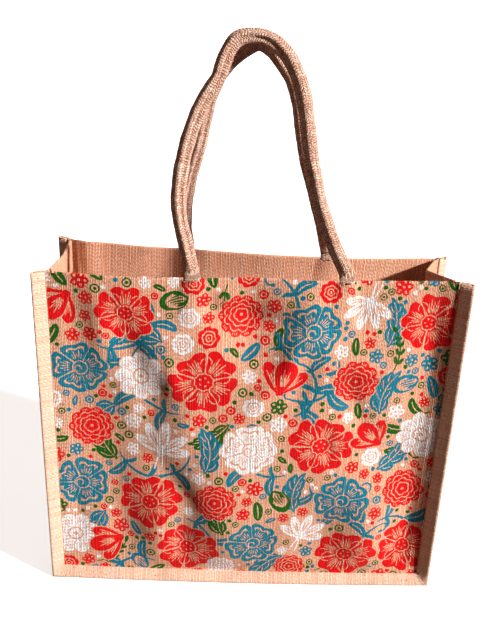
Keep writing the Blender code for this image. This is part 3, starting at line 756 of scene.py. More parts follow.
def draw_scroll(motif, length, bend):
    """Curved stem that ends in a curl, with broad bent leaves on its outer side."""
    line = bent_line(length, bend)
    hand = -1 if bend > 0 else 1
    motif.ink(stroke(line, 3.2, 0.35))
    for share, size in ((0.12, 27), (0.42, 32), (0.70, 26)):
        place, heading = along_stem(line, share)
        turn = heading + 0.75 * hand
        motif.ink(stroke(bent_line(size, 1.5 * hand), 0.36 * size, 0.02), turn, place)
        motif.bare(stroke(bent_line(0.8 * size, 1.2 * hand)[3:], 1.1, 0.4), turn + 0.03 * hand, place)
        bract = stroke(bent_line(0.55 * size, -1.2 * hand), 0.17 * size, 0.1)
        motif.ink(bract, heading - 0.7 * hand, place)
    place, heading = along_stem(line, 1.0)
    curl = bent_line(0.22 * length, 3.8 * -hand)
    motif.ink(stroke(curl, 2.3, 0.6), heading, place)
    motif.ink(circle(*(turned(curl, heading)[-1] + place), 2.2))


def draw_frond(motif, length, bend):
    """Broad cut leaf: bent fingers off a bent spine, each with a bare vein."""
    line = bent_line(length, bend)
    motif.ink(stroke(line, 0.15 * length, 0.1))
    veins = [(stroke(line[2:-4], 1.2, 0.4),)]
    for share, reach in ((0.10, 0.40), (0.30, 0.44), (0.50, 0.38), (0.68, 0.28)):
        place, heading = along_stem(line, share)
        for hand, more in ((1, 1.0), (-1, 0.82)):
            turn = heading + 0.95 * hand
            finger = stroke(bent_line(reach * more * length, -1.3 * hand), 0.145 * length, 0.04)
            motif.ink(finger, turn, place)
            vein = stroke(bent_line(0.72 * reach * more * length, -0.9 * hand)[2:], 1.0, 0.4)
            veins.append((vein, turn, place))
    for vein in veins:
        motif.bare(*vein)


DRAW = {
    "blossom": draw_blossom, "ring": draw_ring, "dot": draw_dot, "rosette": draw_rosette,
    "open flower": draw_open_flower, "lined flower": draw_lined_flower, "tulip": draw_tulip,
    "bell": draw_bell, "lily": draw_lily, "daisy": draw_daisy, "leaf": draw_leaf, "sprig": draw_sprig,
    "scroll": draw_scroll, "frond": draw_frond,
}


def inside(points, outline):
    """Which points lie inside an outline, by crossings."""
    found = np.zeros(len(points), bool)
    x, y = points[:, 0], points[:, 1]
    for (x1, y1), (x2, y2) in zip(outline, np.roll(outline, -1, axis=0)):
        if y1 != y2:
            crosses = (y1 > y) != (y2 > y)
            found ^= crosses & (x < (x2 - x1) * (y - y1) / (y2 - y1) + x1)
    return found


def clipped(outline, low, high):
    """Outline cut off at a rectangle."""
    points = [tuple(p) for p in outline]
    for axis in (0, 1):
        for bound, sign in ((low[axis], 1), (high[axis], -1)):
            kept = []
            for a, b in zip(points, points[1:] + points[:1]):
                a_in, b_in = sign * (a[axis] - bound) >= 0, sign * (b[axis] - bound) >= 0
                if a_in:
                    kept.append(a)
                if a_in != b_in:
                    t = (bound - a[axis]) / (b[axis] - a[axis])
                    kept.append((a[0] + t * (b[0] - a[0]), a[1] + t * (b[1] - a[1])))
            points = kept
            if len(points) < 3:
                return None
    return np.array(points)


class PrintLayout:
    """Inked and bare outlines over the front panel, in mm, in the order in which they are laid down."""

    CELL = 1.0                  # side of a cell in the grid that notes which outline shows where
    RIBS, PARTS = 512, 64       # size of the table of strays, by rib and by part of a rib
    PART = 3.0                  # length of a rib that strays as one

    def __init__(self, setting, rib_pitch, half_width, low, high):
        self.setting = setting
        self.rib_pitch = rib_pitch
        self.low = np.array([-half_width, low])
        self.high = np.array([half_width, high])
        self.shapes = []
        self.random = np.random.default_rng(setting.seed)
        self.ribs = self.random.uniform(-1, 1, (self.RIBS, self.PARTS))
        size = ((self.high - self.low) / self.CELL).astype(int) + 1
        self.owner = np.zeros(size, int)
        self.tiny = set()

    def put(self, kind, x, z, size, turn, ink, *bend):
        """Lays one motif down over what is there."""
        motif = Motif(ink)
        DRAW[kind](motif, size, *bend)
        for outline, colour in motif:
            points = clipped(self.strayed(turned(outline, turn) + (x, z)), self.low, self.high)
            if points is not None:
                self.shapes.append((points, colour))
                self.mark(points, len(self.shapes))

    def strayed(self, points):
        """The edge as the ribs take it: each rib draws it a little up or down."""
        rib = (points[:, 0] / (self.rib_pitch / MM)).astype(int) % self.RIBS
        part = (points[:, 1] / self.PART).astype(int) % self.PARTS
        shift = self.ribs[rib, part] * (self.setting.ragged / MM)
        return points + np.stack([shift * 0.35, shift], -1)

    def window(self, low, high):
        """The first cell between two places and the one after the last."""
        first = np.maximum(((low - self.low) / self.CELL).astype(int), 0)
        return first, np.minimum(((high - self.low) / self.CELL).astype(int) + 2, self.owner.shape)

    def mark(self, points, number):
        """Notes the cells that an outline covers as its own."""
        low, high = self.window(points.min(0), points.max(0))
        cells = np.stack(np.meshgrid(*[np.arange(a, b) for a, b in zip(low, high)], indexing="ij"), -1)
        found = inside(cells.reshape(-1, 2) * self.CELL + self.low, points).reshape(cells.shape[:2])
        self.owner[low[0]:high[0], low[1]:high[1]][found] = number
        if not found.any():
            self.tiny.add(number)

    def free(self, x, z, radius):
        """Whether a disc touches no motif yet."""
        reach, place = radius + self.setting.clearance / MM, np.array([x, z])
        low, high = self.window(place - reach, place + reach)
        taken = np.argwhere(self.owner[low[0]:high[0], low[1]:high[1]]) + low
        away = taken * self.CELL + self.low - place
        return bool((np.hypot(away[:, 0], away[:, 1]) > reach).all())

    def fill(self):
        """Lays the stems, the large motifs and small ones in the gaps. Returns the outlines left showing."""
        for kind, x, z, length, turn, bend, ink in STEMS:
            self.put(kind, x, z, length, radians(turn), ink, radians(bend))
        for kind, x, z, size, turn, ink in MAIN_MOTIFS:
            self.put(kind, x, z, size, radians(turn), ink)
        for kind, radius, tries, inks in FILLERS:
            for _ in range(tries):
                x, z = self.random.uniform(self.low - 3, self.high + 3)
                turn = self.random.uniform(0, tau)
                if self.free(x, z, radius):
                    self.put(kind, x, z, radius, turn, inks[int(self.random.integers(len(inks)))])
        showing = self.tiny.union(np.unique(self.owner).tolist())
        return [shape for number, shape in enumerate(self.shapes, 1) if number in showing]


# ---------------------------------------------------------------- meshes

def new_piece(name, points, faces, maps=None, normals=None):
    """A mesh object in the scene. maps are per-point flat coordinates by the name of their UV map."""
    mesh = bpy.data.meshes.new(name)
    mesh.from_pydata([tuple(p) for p in points], [], [tuple(int(i) for i in f) for f in faces])
    mesh.shade_smooth()
    corners = np.empty(len(mesh.loops), np.int32)
    mesh.loops.foreach_get("vertex_index", corners)
    for label, values in (maps or {}).items():
        layer = mesh.uv_layers.new(name=label)
        layer.data.foreach_set("uv", np.asarray(values, np.float32)[corners].ravel())
    if normals is not None:
        mesh.normals_split_custom_set_from_vertices([tuple(n) for n in normals])
    mesh.update()
    piece = bpy.data.objects.new(name, mesh)
    bpy.context.scene.collection.objects.link(piece)
    return piece


def dress(piece, material, node):
    """Gives a piece its material and its place on the frame."""
    piece.data.materials.append(material)
    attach(piece, "root")
    if node:
        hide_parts(node)
    return piece


def thicken(piece, thickness):
    """Turns an open sheet into cloth of that thickness, and keeps the result."""
    solid = piece.modifiers.new("cloth", "SOLIDIFY")
    solid.thickness = thickness
    solid.offset = 0.0
    solid.use_even_offset = True
    solid.use_quality_normals = True
    with bpy.context.temp_override(object=piece, active_object=piece, selected_objects=[piece]):
        bpy.ops.object.modifier_apply(modifier=solid.name)


def grid_faces(rows, columns, closed=False):
    """Quads between rows of points; closed joins each row's last point to its first."""
    faces = []
    for i in range(rows - 1):
        for j in range(columns if closed else columns - 1):
            k = (j + 1) % columns
            faces.append((i * columns + j, i * columns + k, (i + 1) * columns + k, (i + 1) * columns + j))
    return faces


def tube_faces(rows, sides):
    """Faces of a closed tube, whose points run ring by ring, with a cap at each end."""
    caps = [tuple(range(sides))[::-1], tuple(range((rows - 1) * sides, rows * sides))]
    return grid_faces(rows, sides, closed=True) + caps


def spaced(low, high, step):
    """Evenly spaced values from low to high, about a step apart."""
    return np.linspace(low, high, max(2, int(round(abs(high - low) / step)) + 1))


class PanelCut:
    """The flat cut of a panel, its skins triangulated with or without a print."""

    # Depths of the rows of points that lie closer together: under the fold, and down the hem.
    RIM_ROWS = np.array([0.0012, 0.003, 0.0055, 0.0085, 0.012, 0.016])
    HEM_ROWS = np.array([0.0012, 0.003, 0.0055, 0.009, 0.014, 0.020, 0.027, 0.034])
    FOLD_STEPS = 6
    SLIT_STEP = 0.0022
    # Finer points over a handle's foot: half their width, their spacing, their depth, the rows' spacing.
    FOOT_HALF, FOOT_STEP, FOOT_DEPTH, FOOT_ROW_STEP = 0.0175, 0.0025, 0.052, 0.0032
    FOOT_SHIFT = 0.0002         # keeps them off the other rows

    def __init__(self, shape, side):
        self.shape, self.side = shape, side
        s = shape
        self.fold_step = s.CUT_FOLD / self.FOLD_STEPS
        out, hem, top = s.half + s.edge, s.HEM_SIDE, s.fold_v + s.CUT_FOLD
        right = [(out, -s.edge), (out, s.fold_v), (hem, s.fold_v), (hem, top), (hem, s.top_v)]
        corners = [(-out, -s.edge), *right, *[(-x, v) for x, v in right[:0:-1]]]
        up_the_fold = (3, 7)
        steps = [self.fold_step if k in up_the_fold else s.step for k in range(len(corners))]
        self.loops = [self.walk(corners, steps)]
        for foot in FEET[side]:
            low, high = foot - s.SLIT_HALF, foot + s.SLIT_HALF
            slit = [(low, s.fold_v), (high, s.fold_v), (high, top), (low, top)]
            self.loops.append(self.walk(slit, [self.SLIT_STEP, self.fold_step] * 2))
        self.rim = np.concatenate(self.loops)

    @staticmethod
    def walk(corners, steps):
        """Points round a closed outline, each side at its own spacing."""
        points = []
        for a, b, step in zip(corners, corners[1:] + corners[:1], steps):
            t = spaced(0.0, 1.0, step / max(np.hypot(b[0] - a[0], b[1] - a[1]), 1e-9))[:-1, None]
            points.append(np.array(a) + t * (np.array(b) - np.array(a)))
        return np.concatenate(points)

    def inner_points(self, step):
        """Points of the cut away from its edges, closer together by the rim and in the fold."""
        s = self.shape
        columns = spaced(-s.half, s.half, step)
        columns = np.concatenate([[-s.half - s.edge / 2], columns, [s.half + s.edge / 2]])
        plain = spaced(step, s.fold_v - self.RIM_ROWS[-1] - step, step)
        heights = np.concatenate([[-s.edge / 2, 0.0], plain, s.fold_v - self.RIM_ROWS])
        under = s.fold_v + s.CUT_FOLD + self.HEM_ROWS
        under = under[under < s.top_v - 0.002]
        fold = spaced(s.fold_v, s.fold_v + s.CUT_FOLD, self.fold_step)
        hemmed = columns[np.abs(columns) < s.HEM_SIDE - step / 2]
        rows = [(columns, v) for v in heights] + [(hemmed, v) for v in (*under, *fold)]
        points = [(u, v) for us, v in rows for u in us]
        for foot in FEET[self.side]:
            close = spaced(foot - self.FOOT_HALF, foot + self.FOOT_HALF, self.FOOT_STEP)
            below = s.fold_v - spaced(self.RIM_ROWS[0], self.FOOT_DEPTH, self.FOOT_ROW_STEP)
            points += [(u, v + self.FOOT_SHIFT) for v in (*below, *under, *fold) for u in close]
        return np.array([p for p in points if not self.in_slit(p)])

    def in_slit(self, place):
        """Whether a place of the cut lies in a slit or right beside it."""
        s, margin = self.shape, 0.0004
        if not s.fold_v - margin < place[1] < s.fold_v + s.CUT_FOLD + margin:
            return False
        return any(abs(place[0] - foot) < s.SLIT_HALF + margin for foot in FEET[self.side])

    def triangulate(self, step, shapes=()):
        """Points, triangles, each triangle's ink or None, and the numbers of the edge's points in order."""
        s = self.shape
        outlines = [(outline * MM - (0.0, s.seam_z), ink) for outline, ink in shapes]
        loops = self.loops + [outline for outline, _ in outlines]
        edges, count = [], 0
        for loop in loops:
            numbers = np.arange(count, count + len(loop))
            edges += zip(numbers.tolist(), np.roll(numbers, -1).tolist())
            count += len(loop)
        loose = self.inner_points(step)
        count += len(loose)
        out = s.half + s.edge
        seams = np.array([(-s.half, 0.0), (s.half, 0.0)])
        near = [int(np.argmin(np.hypot(*(self.rim - c).T))) for c in ((-out, -s.edge), (out, -s.edge))]
        edges += [(near[0], count), (near[1], count + 1)]
        points = np.concatenate([*loops, loose, seams])
        result = delaunay_2d_cdt([Vector(p) for p in points], edges, [], 0, 1e-6, True)
        places = np.array([tuple(p) for p in result[0]])
        triangles = np.array(result[2])
        middles = places[triangles].mean(axis=1)
        kept = inside(middles, self.loops[0])
        for loop in self.loops[1:]:
            kept &= ~inside(middles, loop)
        triangles, middles = triangles[kept], middles[kept]
        inks = np.full(len(triangles), None, object)
        order = np.argsort(middles[:, 0])
        across = middles[order, 0]
        for outline, ink in outlines:
            first, last = np.searchsorted(across, (outline[:, 0].min(), outline[:, 0].max()))
            part = order[first:last]
            level = middles[part, 1]
            part = part[(level > outline[:, 1].min()) & (level < outline[:, 1].max())]
            inks[part[inside(middles[part], outline)]] = ink
        where = {source: k for k, sources in enumerate(result[3]) for source in sources}
        return places, triangles, inks, [where[k] for k in range(len(self.rim))]

    def normals(self, places):
        """Outward normals of the cloth, from the shape itself."""
        e = 0.0004
        u, v = places[:, 0], places[:, 1]
        s = self.shape
        u0, u1 = np.maximum(u - e, -s.half - s.edge), np.minimum(u + e, s.half + s.edge)
        v0, v1 = np.maximum(v - e, -s.edge), np.minimum(v + e, s.top_v)
        across = s.panel_place(self.side, u1, v) - s.panel_place(self.side, u0, v)
        up = s.panel_place(self.side, u, v1) - s.panel_place(self.side, u, v0)
        return unit(np.cross(across, up))


def make_panel(name, side, shape, shapes, inks):
    """A panel as one sheet with an outer skin, which carries the print, and a plain inner skin."""
    cut = PanelCut(shape, side)
    outer, outer_faces, outer_inks, outer_rim = cut.triangulate(shape.step, shapes)
    inner, inner_faces, _, inner_rim = cut.triangulate(shape.step * 1.3)
    half = shape.cloth / 2
    outer_normal = -side * cut.normals(outer)
    inner_normal = -side * cut.normals(inner)
    points = np.concatenate([
        shape.panel_place(side, *outer.T) + outer_normal * half,
        shape.panel_place(side, *inner.T) - inner_normal * half,
    ])
    normals = np.concatenate([outer_normal, -inner_normal])
    base = len(outer)
    faces = outer_faces[:, ::-side].tolist() + (inner_faces[:, ::side] + base).tolist()
    first = 0
    for number, loop in enumerate(cut.loops):
        for k in range(len(loop)):
            a, b = first + k, first + (k + 1) % len(loop)
            quad = (outer_rim[a], inner_rim[a] + base, inner_rim[b] + base, outer_rim[b])
            faces.append(quad if (side == FRONT) == (number == 0) else quad[::-1])
        first += len(loop)
    flat = np.concatenate([outer, inner])
    span = np.array([2 * (shape.half + shape.edge), shape.top_v + shape.edge])
    share = (flat - (-shape.half - shape.edge, -shape.edge)) / span
    bake = share * BAKE_SIZE + BAKE_START
    bake[base:, 1] = share[base:, 1] * BAKE_INNER_SIZE + BAKE_INNER_START
    piece = new_piece(name, points, faces, {"cloth": flat, "OFBake": bake}, normals)
    piece.data.uv_layers.active = piece.data.uv_layers["cloth"]
    colours = np.zeros((len(piece.data.loops), 4), np.float32)
    for number, ink in enumerate(outer_inks):
        if ink:
            colours[3 * number:3 * number + 3] = inks[ink]
    layer = piece.data.color_attributes.new("ink", "FLOAT_COLOR", "CORNER")
    layer.data.foreach_set("color", colours.ravel())
    return piece


def make_gusset(shape):
    """The strip of both side walls and the base, its seam allowances caught in both flanges."""
    strip_width = 0.096         # between the seam allowances, in the flat cut
    wall_top, wall_step = 0.308, 0.010
    wall_foot = 0.008           # over the base seam
    base_half, base_step = 0.186, 0.011
    turns = 6                   # points round the fold of the hem
    shares = np.concatenate([[0.0, 0.03], spaced(0.08, 0.92, 0.042), [0.97, 1.0]])
    reaches = np.array([shape.edge, 0.0085, 0.0055, 0.0030, 0.0015])
    blank = np.full((len(reaches), 3), np.nan)
    hemmed = (shares > 0.02) & (shares < 0.98)

    def hem_line(wall):
        """A line of the turned-in hem, which stops short of the seams."""
        wall[~hemmed] = np.nan
        return np.concatenate([blank, wall, blank])

    def full_line(hand, x, wall, z_front, z_back, kind):
        """A line across the whole strip, its ends in the front and back flanges."""
        front = shape.flange_point(FRONT, hand, reaches, x, z_front, shape.layer, kind)
        back = shape.flange_point(BACK, hand, reaches, x, z_back, shape.layer, kind)
        return np.concatenate([front, wall, back[::-1]])

    def side_lines(hand):
        """Lines of one side wall, from its hem's edge over the rim and down to the base."""
        seam_x = hand * shape.half
        rim = shape.gusset_rim(hand, shares)
        front_rim, back_rim = shape.rim_z(FRONT, seam_x), shape.rim_z(BACK, seam_x)
        lines = []
        for under in GUSSET_HEM_LINES[::-1]:
            lines.append(hem_line(shape.gusset_wall(hand, shares, rim - under, shape.hem_gap)))
        radius = shape.hem_gap / 2
        start = rim - shape.cloth / 2 - radius
        for turn in range(turns, 0, -1):
            angle = pi * turn / turns
            wall = shape.gusset_wall(hand, shares, start, radius * (1 - cos(angle)))
            wall[:, 2] += radius * sin(angle)
            lines.append(hem_line(wall))
        wall = shape.gusset_wall(hand, shares, start)
        under = shape.cloth / 2
        wall[~hemmed] = shape.gusset_wall(hand, shares, rim - under)[~hemmed]
        lines.append(full_line(hand, seam_x, wall, front_rim - under, back_rim - under, "side"))
        for under in GUSSET_HEM_LINES:
            wall = shape.gusset_wall(hand, shares, rim - under)
            lines.append(full_line(hand, seam_x, wall, front_rim - under, back_rim - under, "side"))
        for z in spaced(wall_top, shape.seam_z + wall_foot, wall_step):
            lines.append(full_line(hand, seam_x, shape.gusset_wall(hand, shares, z), z, z, "side"))
        wall = shape.gusset_wall(hand, shares, shape.base_z(shares))
        lines.append(full_line(hand, seam_x, wall, shape.seam_z, shape.seam_z, "corner"))
        return lines

    def base_line(x):
        front = shape.seam_y(FRONT, x, shape.seam_z) + shape.GUSSET_MARGIN
        back = shape.seam_y(BACK, x, shape.seam_z) - shape.GUSSET_MARGIN
        wall = stack(x, front + shares * (back - front), shape.base_z(shares))
        return full_line(RIGHT, x, wall, shape.seam_z, shape.seam_z, "base")

    left, right = side_lines(LEFT), side_lines(RIGHT)
    points = np.array(left + [base_line(x) for x in spaced(-base_half, base_half, base_step)] + right[::-1])
    rows, columns = points.shape[:2]
    flat = points.reshape(-1, 3)
    known = ~np.isnan(flat[:, 0])
    number = np.cumsum(known) - 1
    faces = [tuple(number[list(f)]) for f in grid_faces(rows, columns) if known[list(f)].all()]
    middle = np.nan_to_num(points[:, columns // 2])
    wide = np.concatenate([-reaches, shares * strip_width, strip_width + reaches[::-1]])
    cloth = np.stack(np.meshgrid(wide, run_lengths(middle)), -1).reshape(-1, 2)[known]
    piece = new_piece("gusset_cloth", flat[known], faces, {"cloth": cloth})
    thicken(piece, shape.cloth)
    return piece


def flange_route(shape, side, reach, layer, step):
    """Points along a flange at one reach and layer: down the left side, along the base and up the right."""
    up, along = 0.004, 0.006    # how far the points nearest to a corner are from it
    points = []
    for hand in (LEFT, RIGHT):
        seam_x = hand * shape.half
        top = shape.rim_z(side, seam_x) - shape.FLANGE_SHORT
        heights = spaced(top, shape.seam_z + up, step)
        column = [shape.flange_point(side, hand, reach, seam_x, z, layer, "side") for z in heights]
        column.append(shape.flange_point(side, hand, reach, seam_x, shape.seam_z, layer, "corner"))
        if hand == LEFT:
            points += column
            for x in spaced(-shape.half + along, shape.half - along, step):
                points.append(shape.flange_point(side, 0, reach, x, shape.seam_z, layer, "base"))
        else:
            points += column[::-1]
    return np.array(points)


def make_binding(name, side, shape):
    """Folded tape round a flange, its edges a little uneven."""
    lines = []
    for reach, layers in BINDING_SECTION:
        lines.append(flange_route(shape, side, reach * MM, layers * shape.layer, 0.006))
    points = np.stack(lines, 1)
    rows, columns = points.shape[:2]
    run = run_lengths(points[:, columns // 2])
    waver = np.abs(0.00011 * np.sin(run * 190 + side) + 0.00008 * np.sin(run * 83))
    edge = np.array([1.0, 0.5] + [0.0] * (columns - 4) + [0.5, 1.0])
    points[..., 1] -= side * waver[:, None] * edge
    cloth = np.stack(np.meshgrid(run_lengths(points[5]), run)[::-1], -1).reshape(-1, 2)
    piece = new_piece(name, points.reshape(-1, 3), grid_faces(rows, columns), {"cloth": cloth})
    thicken(piece, shape.cloth)
    return piece


def smooth_run(points, steps):
    """Points of a smooth curve through a list of points."""
    points = np.asarray(points, float)
    ends = np.concatenate([[2 * points[0] - points[1]], points, [2 * points[-1] - points[-2]]])
    out = []
    for k in range(1, len(ends) - 2):
        a, b, c, d = ends[k - 1:k + 3]
        for t in np.arange(steps) / steps:
            out.append(0.5 * (2 * b + (c - a) * t + (2 * a - 5 * b + 4 * c - d) * t ** 2
                              + (3 * b - a - 3 * c + d) * t ** 3))
    return np.array(out + [points[-1]])


def handle_run(side, shape):
    """Middles of a handle above the rim, leaning in from its feet to the other handle at the top."""
    left, right = FEET[side]
    path = []
    for x, z in ROUTES[side]:
        across = smooth((x * MM - left) / (right - left))
        near, far = shape.handle_y(side, z * MM, left), shape.handle_y(side, z * MM, right)
        path.append((x * MM, near + (far - near) * across, z * MM))
    return smooth_run(path, 22)


def handle_tail(side, shape, foot_x):
    """Middles, and half widths and thicknesses, of a flattened end from its tip up to the rim."""
    length, step = 0.034, 0.0017
    under = spaced(length, 0.0, step)
    close = np.exp(-under / shape.RIM_FADE)[:, None]
    mouth, flat = np.array(MOUTH_HALF), np.array(TAIL_HALF)
    return stack(foot_x, 0.0, shape.rim_z(side, foot_x) - under), flat + (mouth - flat) * close


def handle_relief(angle, length, twist, depth):
    """Relief round a handle, as a share of its radius: cords, and flutes at a share of their depth."""
    cord_pitch, cord_height = 0.0025, 0.016
    relief = 0.0
    for place, half_width, share in FLUTES:
        away = np.abs((angle - radians(place) - twist + pi) % tau - pi)
        relief = relief - share * depth * np.exp(-(away / radians(half_width)) ** 2)
    cord = np.abs(np.sin(length * pi / cord_pitch + 2.2 * np.abs(np.sin(angle * 2.5))))
    return relief + cord_height * (cord - 0.5)


def make_handle(name, side, shape):
    """A rolled handle with flutes and the relief of its braided cords, flattened where the hem holds it."""
    sides = 32
    settle_height = 0.022       # the roll is round this far above the rim
    knee_height, knee_fade = 0.445, 0.030
    run = handle_run(side, shape)
    settle = smooth((run[:, 2] - shape.rim) / settle_height)
    lump = 0.03 * np.sin(run[:, 2] * 210 + run[:, 0] * 160) + 0.012 * np.sin(run[:, 2] * 530)
    mouth = np.array(MOUTH_HALF)
    half = (mouth + (shape.roll - mouth) * settle[:, None]) * (1 + lump * settle)[:, None]
    (first, first_half), (last, last_half) = [handle_tail(side, shape, foot_x) for foot_x in FEET[side]]
    middle = np.concatenate([first, run, last[::-1]])
    half = np.concatenate([first_half, half, last_half[::-1]])
    tails = (len(first), len(last))
    settled = np.pad(settle, tails)[:, None]
    in_tail = np.pad(np.zeros(len(run), bool), tails, constant_values=True)
    along = np.gradient(middle, axis=0)
    along[in_tail, 1] = 0.0
    along = unit(along)
    depth = unit(np.array([0.0, 1.0, 0.0]) - along * along[:, 1:2])
    aside = np.cross(along, depth)
    angle = np.arange(sides)[None] * tau / sides
    length = run_lengths(middle)[:, None]

    # The handle is twisted further, and its flutes are shallower, high on its right leg.
    upper_right = smooth(middle[:, :1] / knee_fade) * smooth((middle[:, 2:] - knee_height) / knee_fade)
    twist = (0.35 * np.sin(length * 9 + side) - 0.40 * upper_right) * settled
    reach = 1 + handle_relief(angle, length, twist, 1 - 0.6 * upper_right) * settled
    across = half[:, :1] * np.cos(angle) * reach
    through = half[:, 1:] * np.sin(angle) * reach
    points = middle[:, None] + aside[:, None] * across[..., None] + depth[:, None] * through[..., None]
    x, z = points[in_tail][..., 0], points[in_tail][..., 2]
    points[in_tail, :, 1] = (shape.outer_y(side, x, z) + shape.inner_y(side, x, z)) / 2 + through[in_tail]
    around = 1 - np.abs(2 * np.arange(sides) / sides - 1)
    cloth = np.stack(np.meshgrid(around * pi * shape.roll, length), -1).reshape(-1, 2)
    return new_piece(name, points.reshape(-1, 3), tube_faces(len(middle), sides), {"cloth": cloth})


def tube_strip(points, radius, sides, taper=False):
    """Vertices and faces of a thin tube through points."""
    points = np.asarray(points, float)
    along = unit(np.gradient(points, axis=0))
    start = (0.0, 0.0, 1.0) if abs(along[0, 2]) < 0.9 else (1.0, 0.0, 0.0)
    first = unit(np.cross(along, start))
    second = np.cross(along, first)
    angle = np.arange(sides) * tau / sides
    thin = np.linspace(1.0, 0.35, len(points))[:, None, None] if taper else 1.0
    ring = first[:, None] * np.cos(angle)[None, :, None] + second[:, None] * np.sin(angle)[None, :, None]
    vertices = (points[:, None] + ring * radius * thin).reshape(-1, 3)
    return vertices, tube_faces(len(points), sides)


def join_tubes(name, tubes):
    """One piece from many tubes."""
    vertices, faces, count = [], [], 0
    for points, numbers in tubes:
        vertices.append(points)
        faces += [tuple(i + count for i in face) for face in numbers]
        count += len(points)
    return new_piece(name, np.concatenate(vertices), faces)


def resampled(points, spacing):
    """Points at an even spacing along a line."""
    points = np.asarray(points, float)
    run = run_lengths(points)
    at = np.arange(spacing, run[-1] - spacing, spacing)
    return np.stack([np.interp(at, run, points[:, k]) for k in range(3)], -1)


def make_stitches(name, shape, side):
    """Lockstitches through a flange, on both of its faces."""
    rise = np.array([-0.00022, -0.00003, -0.00003, -0.00022])[:, None]     # along a stitch
    thread_radius, spacing = 0.00018, 0.0011
    tubes = []
    for layer, outward in ((-shape.layer - shape.cloth / 2, 1), (2 * shape.layer + shape.cloth / 2, -1)):
        reach = 0.0040 if outward > 0 else 0.0050
        spots = resampled(flange_route(shape, side, reach, layer, 0.004), spacing)
        lift = np.array([0.0, side * outward, 0.0])
        for k in range(0, len(spots) - 3, 4):
            line = spots[k:k + 4] + lift * rise / cos(shape.FLANGE_TURN)
            tubes.append(tube_strip(line, thread_radius, 6))
    return join_tubes(name, tubes)


def make_fibres(shape):
    """Loose jute hairs along the rims, the flanges and the handles."""
    rim_hairs, handle_hairs, flange_hairs = 90, 110, 70
    rim_reach = 0.185           # hairs stand on the rims up to this far from the middle
    side_foot = 0.02            # and on the side flanges from this height up
    random = np.random.default_rng(5)
    tubes = []

    def hair(start, heading, length):
        curl = random.normal(0, 0.5, 3)
        t = np.linspace(0, 1, 6)[:, None]
        heading = heading + random.normal(0, 0.45, 3)
        heading /= np.linalg.norm(heading)
        points = start + heading * length * t + curl * length * 0.45 * t ** 2
        tubes.append(tube_strip(points, random.uniform(0.00005, 0.00009), 3, taper=True))

    for side in (FRONT, BACK):
        for _ in range(rim_hairs):
            x = random.uniform(-rim_reach, rim_reach)
            y, z = float(shape.panel_y(side, x, shape.rim)), float(shape.rim_z(side, x)) - 0.0006
            start = np.array([x, y, z])
            hair(start, np.array([0.0, 0.35 * side, 0.8]), random.uniform(0.002, 0.006))
        path = np.array([(x * MM, float(shape.handle_y(side, z * MM, FEET[side][0])), z * MM)
                         for x, z in ROUTES[side]])
        run = smooth_run(path, 8)
        for _ in range(handle_hairs):
            k = int(random.integers(8, len(run) - 8))
            away = random.normal(0, 1, 3)
            along = run[k + 1] - run[k - 1]
            away -= along * (away @ along) / (along @ along)
            away /= np.linalg.norm(away)
            hair(run[k] + away * shape.roll * 0.92, away * 0.8, random.uniform(0.002, 0.0045))
        edge = flange_route(shape, side, 0.0136, 0.5 * shape.layer, 0.006)
        for _ in range(flange_hairs):
            k = int(random.integers(0, len(edge)))
            start = edge[k]
            hand = np.sign(start[0]) if abs(start[0]) > shape.half and start[2] > side_foot else 0.0
            if hand:
                hair(start, np.array([hand * 0.8, 0.3 * side, 0.1]), random.uniform(0.0015, 0.004))
    return join_tubes("loose_fibres", tubes)


# ---------------------------------------------------------------- materials

class Net:
    """Short calls that add nodes to a tree and wire them."""

    def __init__(self, tree):
        self.tree = tree

    def node(self, kind, inputs=None, **settings):
        node = self.tree.nodes.new(kind)
        for name, value in settings.items():
            setattr(node, name, value)
        for key, value in (inputs or {}).items():
            if isinstance(value, bpy.types.NodeSocket):
                self.tree.links.new(value, node.inputs[key])
            else:
                node.inputs[key].default_value = value
        return node

    def math(self, operation, *values, clamp=False):
        node = self.node("ShaderNodeMath", dict(enumerate(values)), operation=operation, use_clamp=clamp)
        return node.outputs[0]

    def times(self, a, b, plus=None):
        """a times b, plus a value where one is given."""
        if plus is None:
            return self.math("MULTIPLY", a, b)
        return self.math("MULTIPLY_ADD", a, b, plus)

    def blend(self, share, a, b):
        return self.node("ShaderNodeMix", {0: share, 6: a, 7: b}, data_type="RGBA").outputs[2]

    def spread(self, value, low, high, to_low=0.0, to_high=1.0, soft=True):
        inputs = {0: value, 1: low, 2: high, 3: to_low, 4: to_high}
        node = self.node("ShaderNodeMapRange", inputs, interpolation_type="SMOOTHSTEP" if soft else "LINEAR")
        return node.outputs[0]

    def noise(self, vector, x, y, detail=2.0, rough=0.5):
        """Noise over a vector whose x and y are scaled first."""
        scaled = self.node("ShaderNodeVectorMath", {0: vector, 1: (x, y, 1.0)}, operation="MULTIPLY")
        inputs = {"Vector": scaled.outputs[0], "Scale": 1.0, "Detail": detail, "Roughness": rough}
        return self.node("ShaderNodeTexNoise", inputs, noise_dimensions="2D").outputs[0]

    def wobble(self, vector, x, y, detail=1.0):
        """Noise that strays to both sides of 0."""
        return self.math("SUBTRACT", self.noise(vector, x, y, detail), 0.5)

    def chance(self, number):
        """A random value for each whole number."""
        return self.node("ShaderNodeTexWhiteNoise", {"W": number}, noise_dimensions="1D").outputs[0]

    def rounded(self, value):
        """Half-round profile over each whole step of a value."""
        return self.math("SINE", self.times(self.math("FRACT", value), pi))


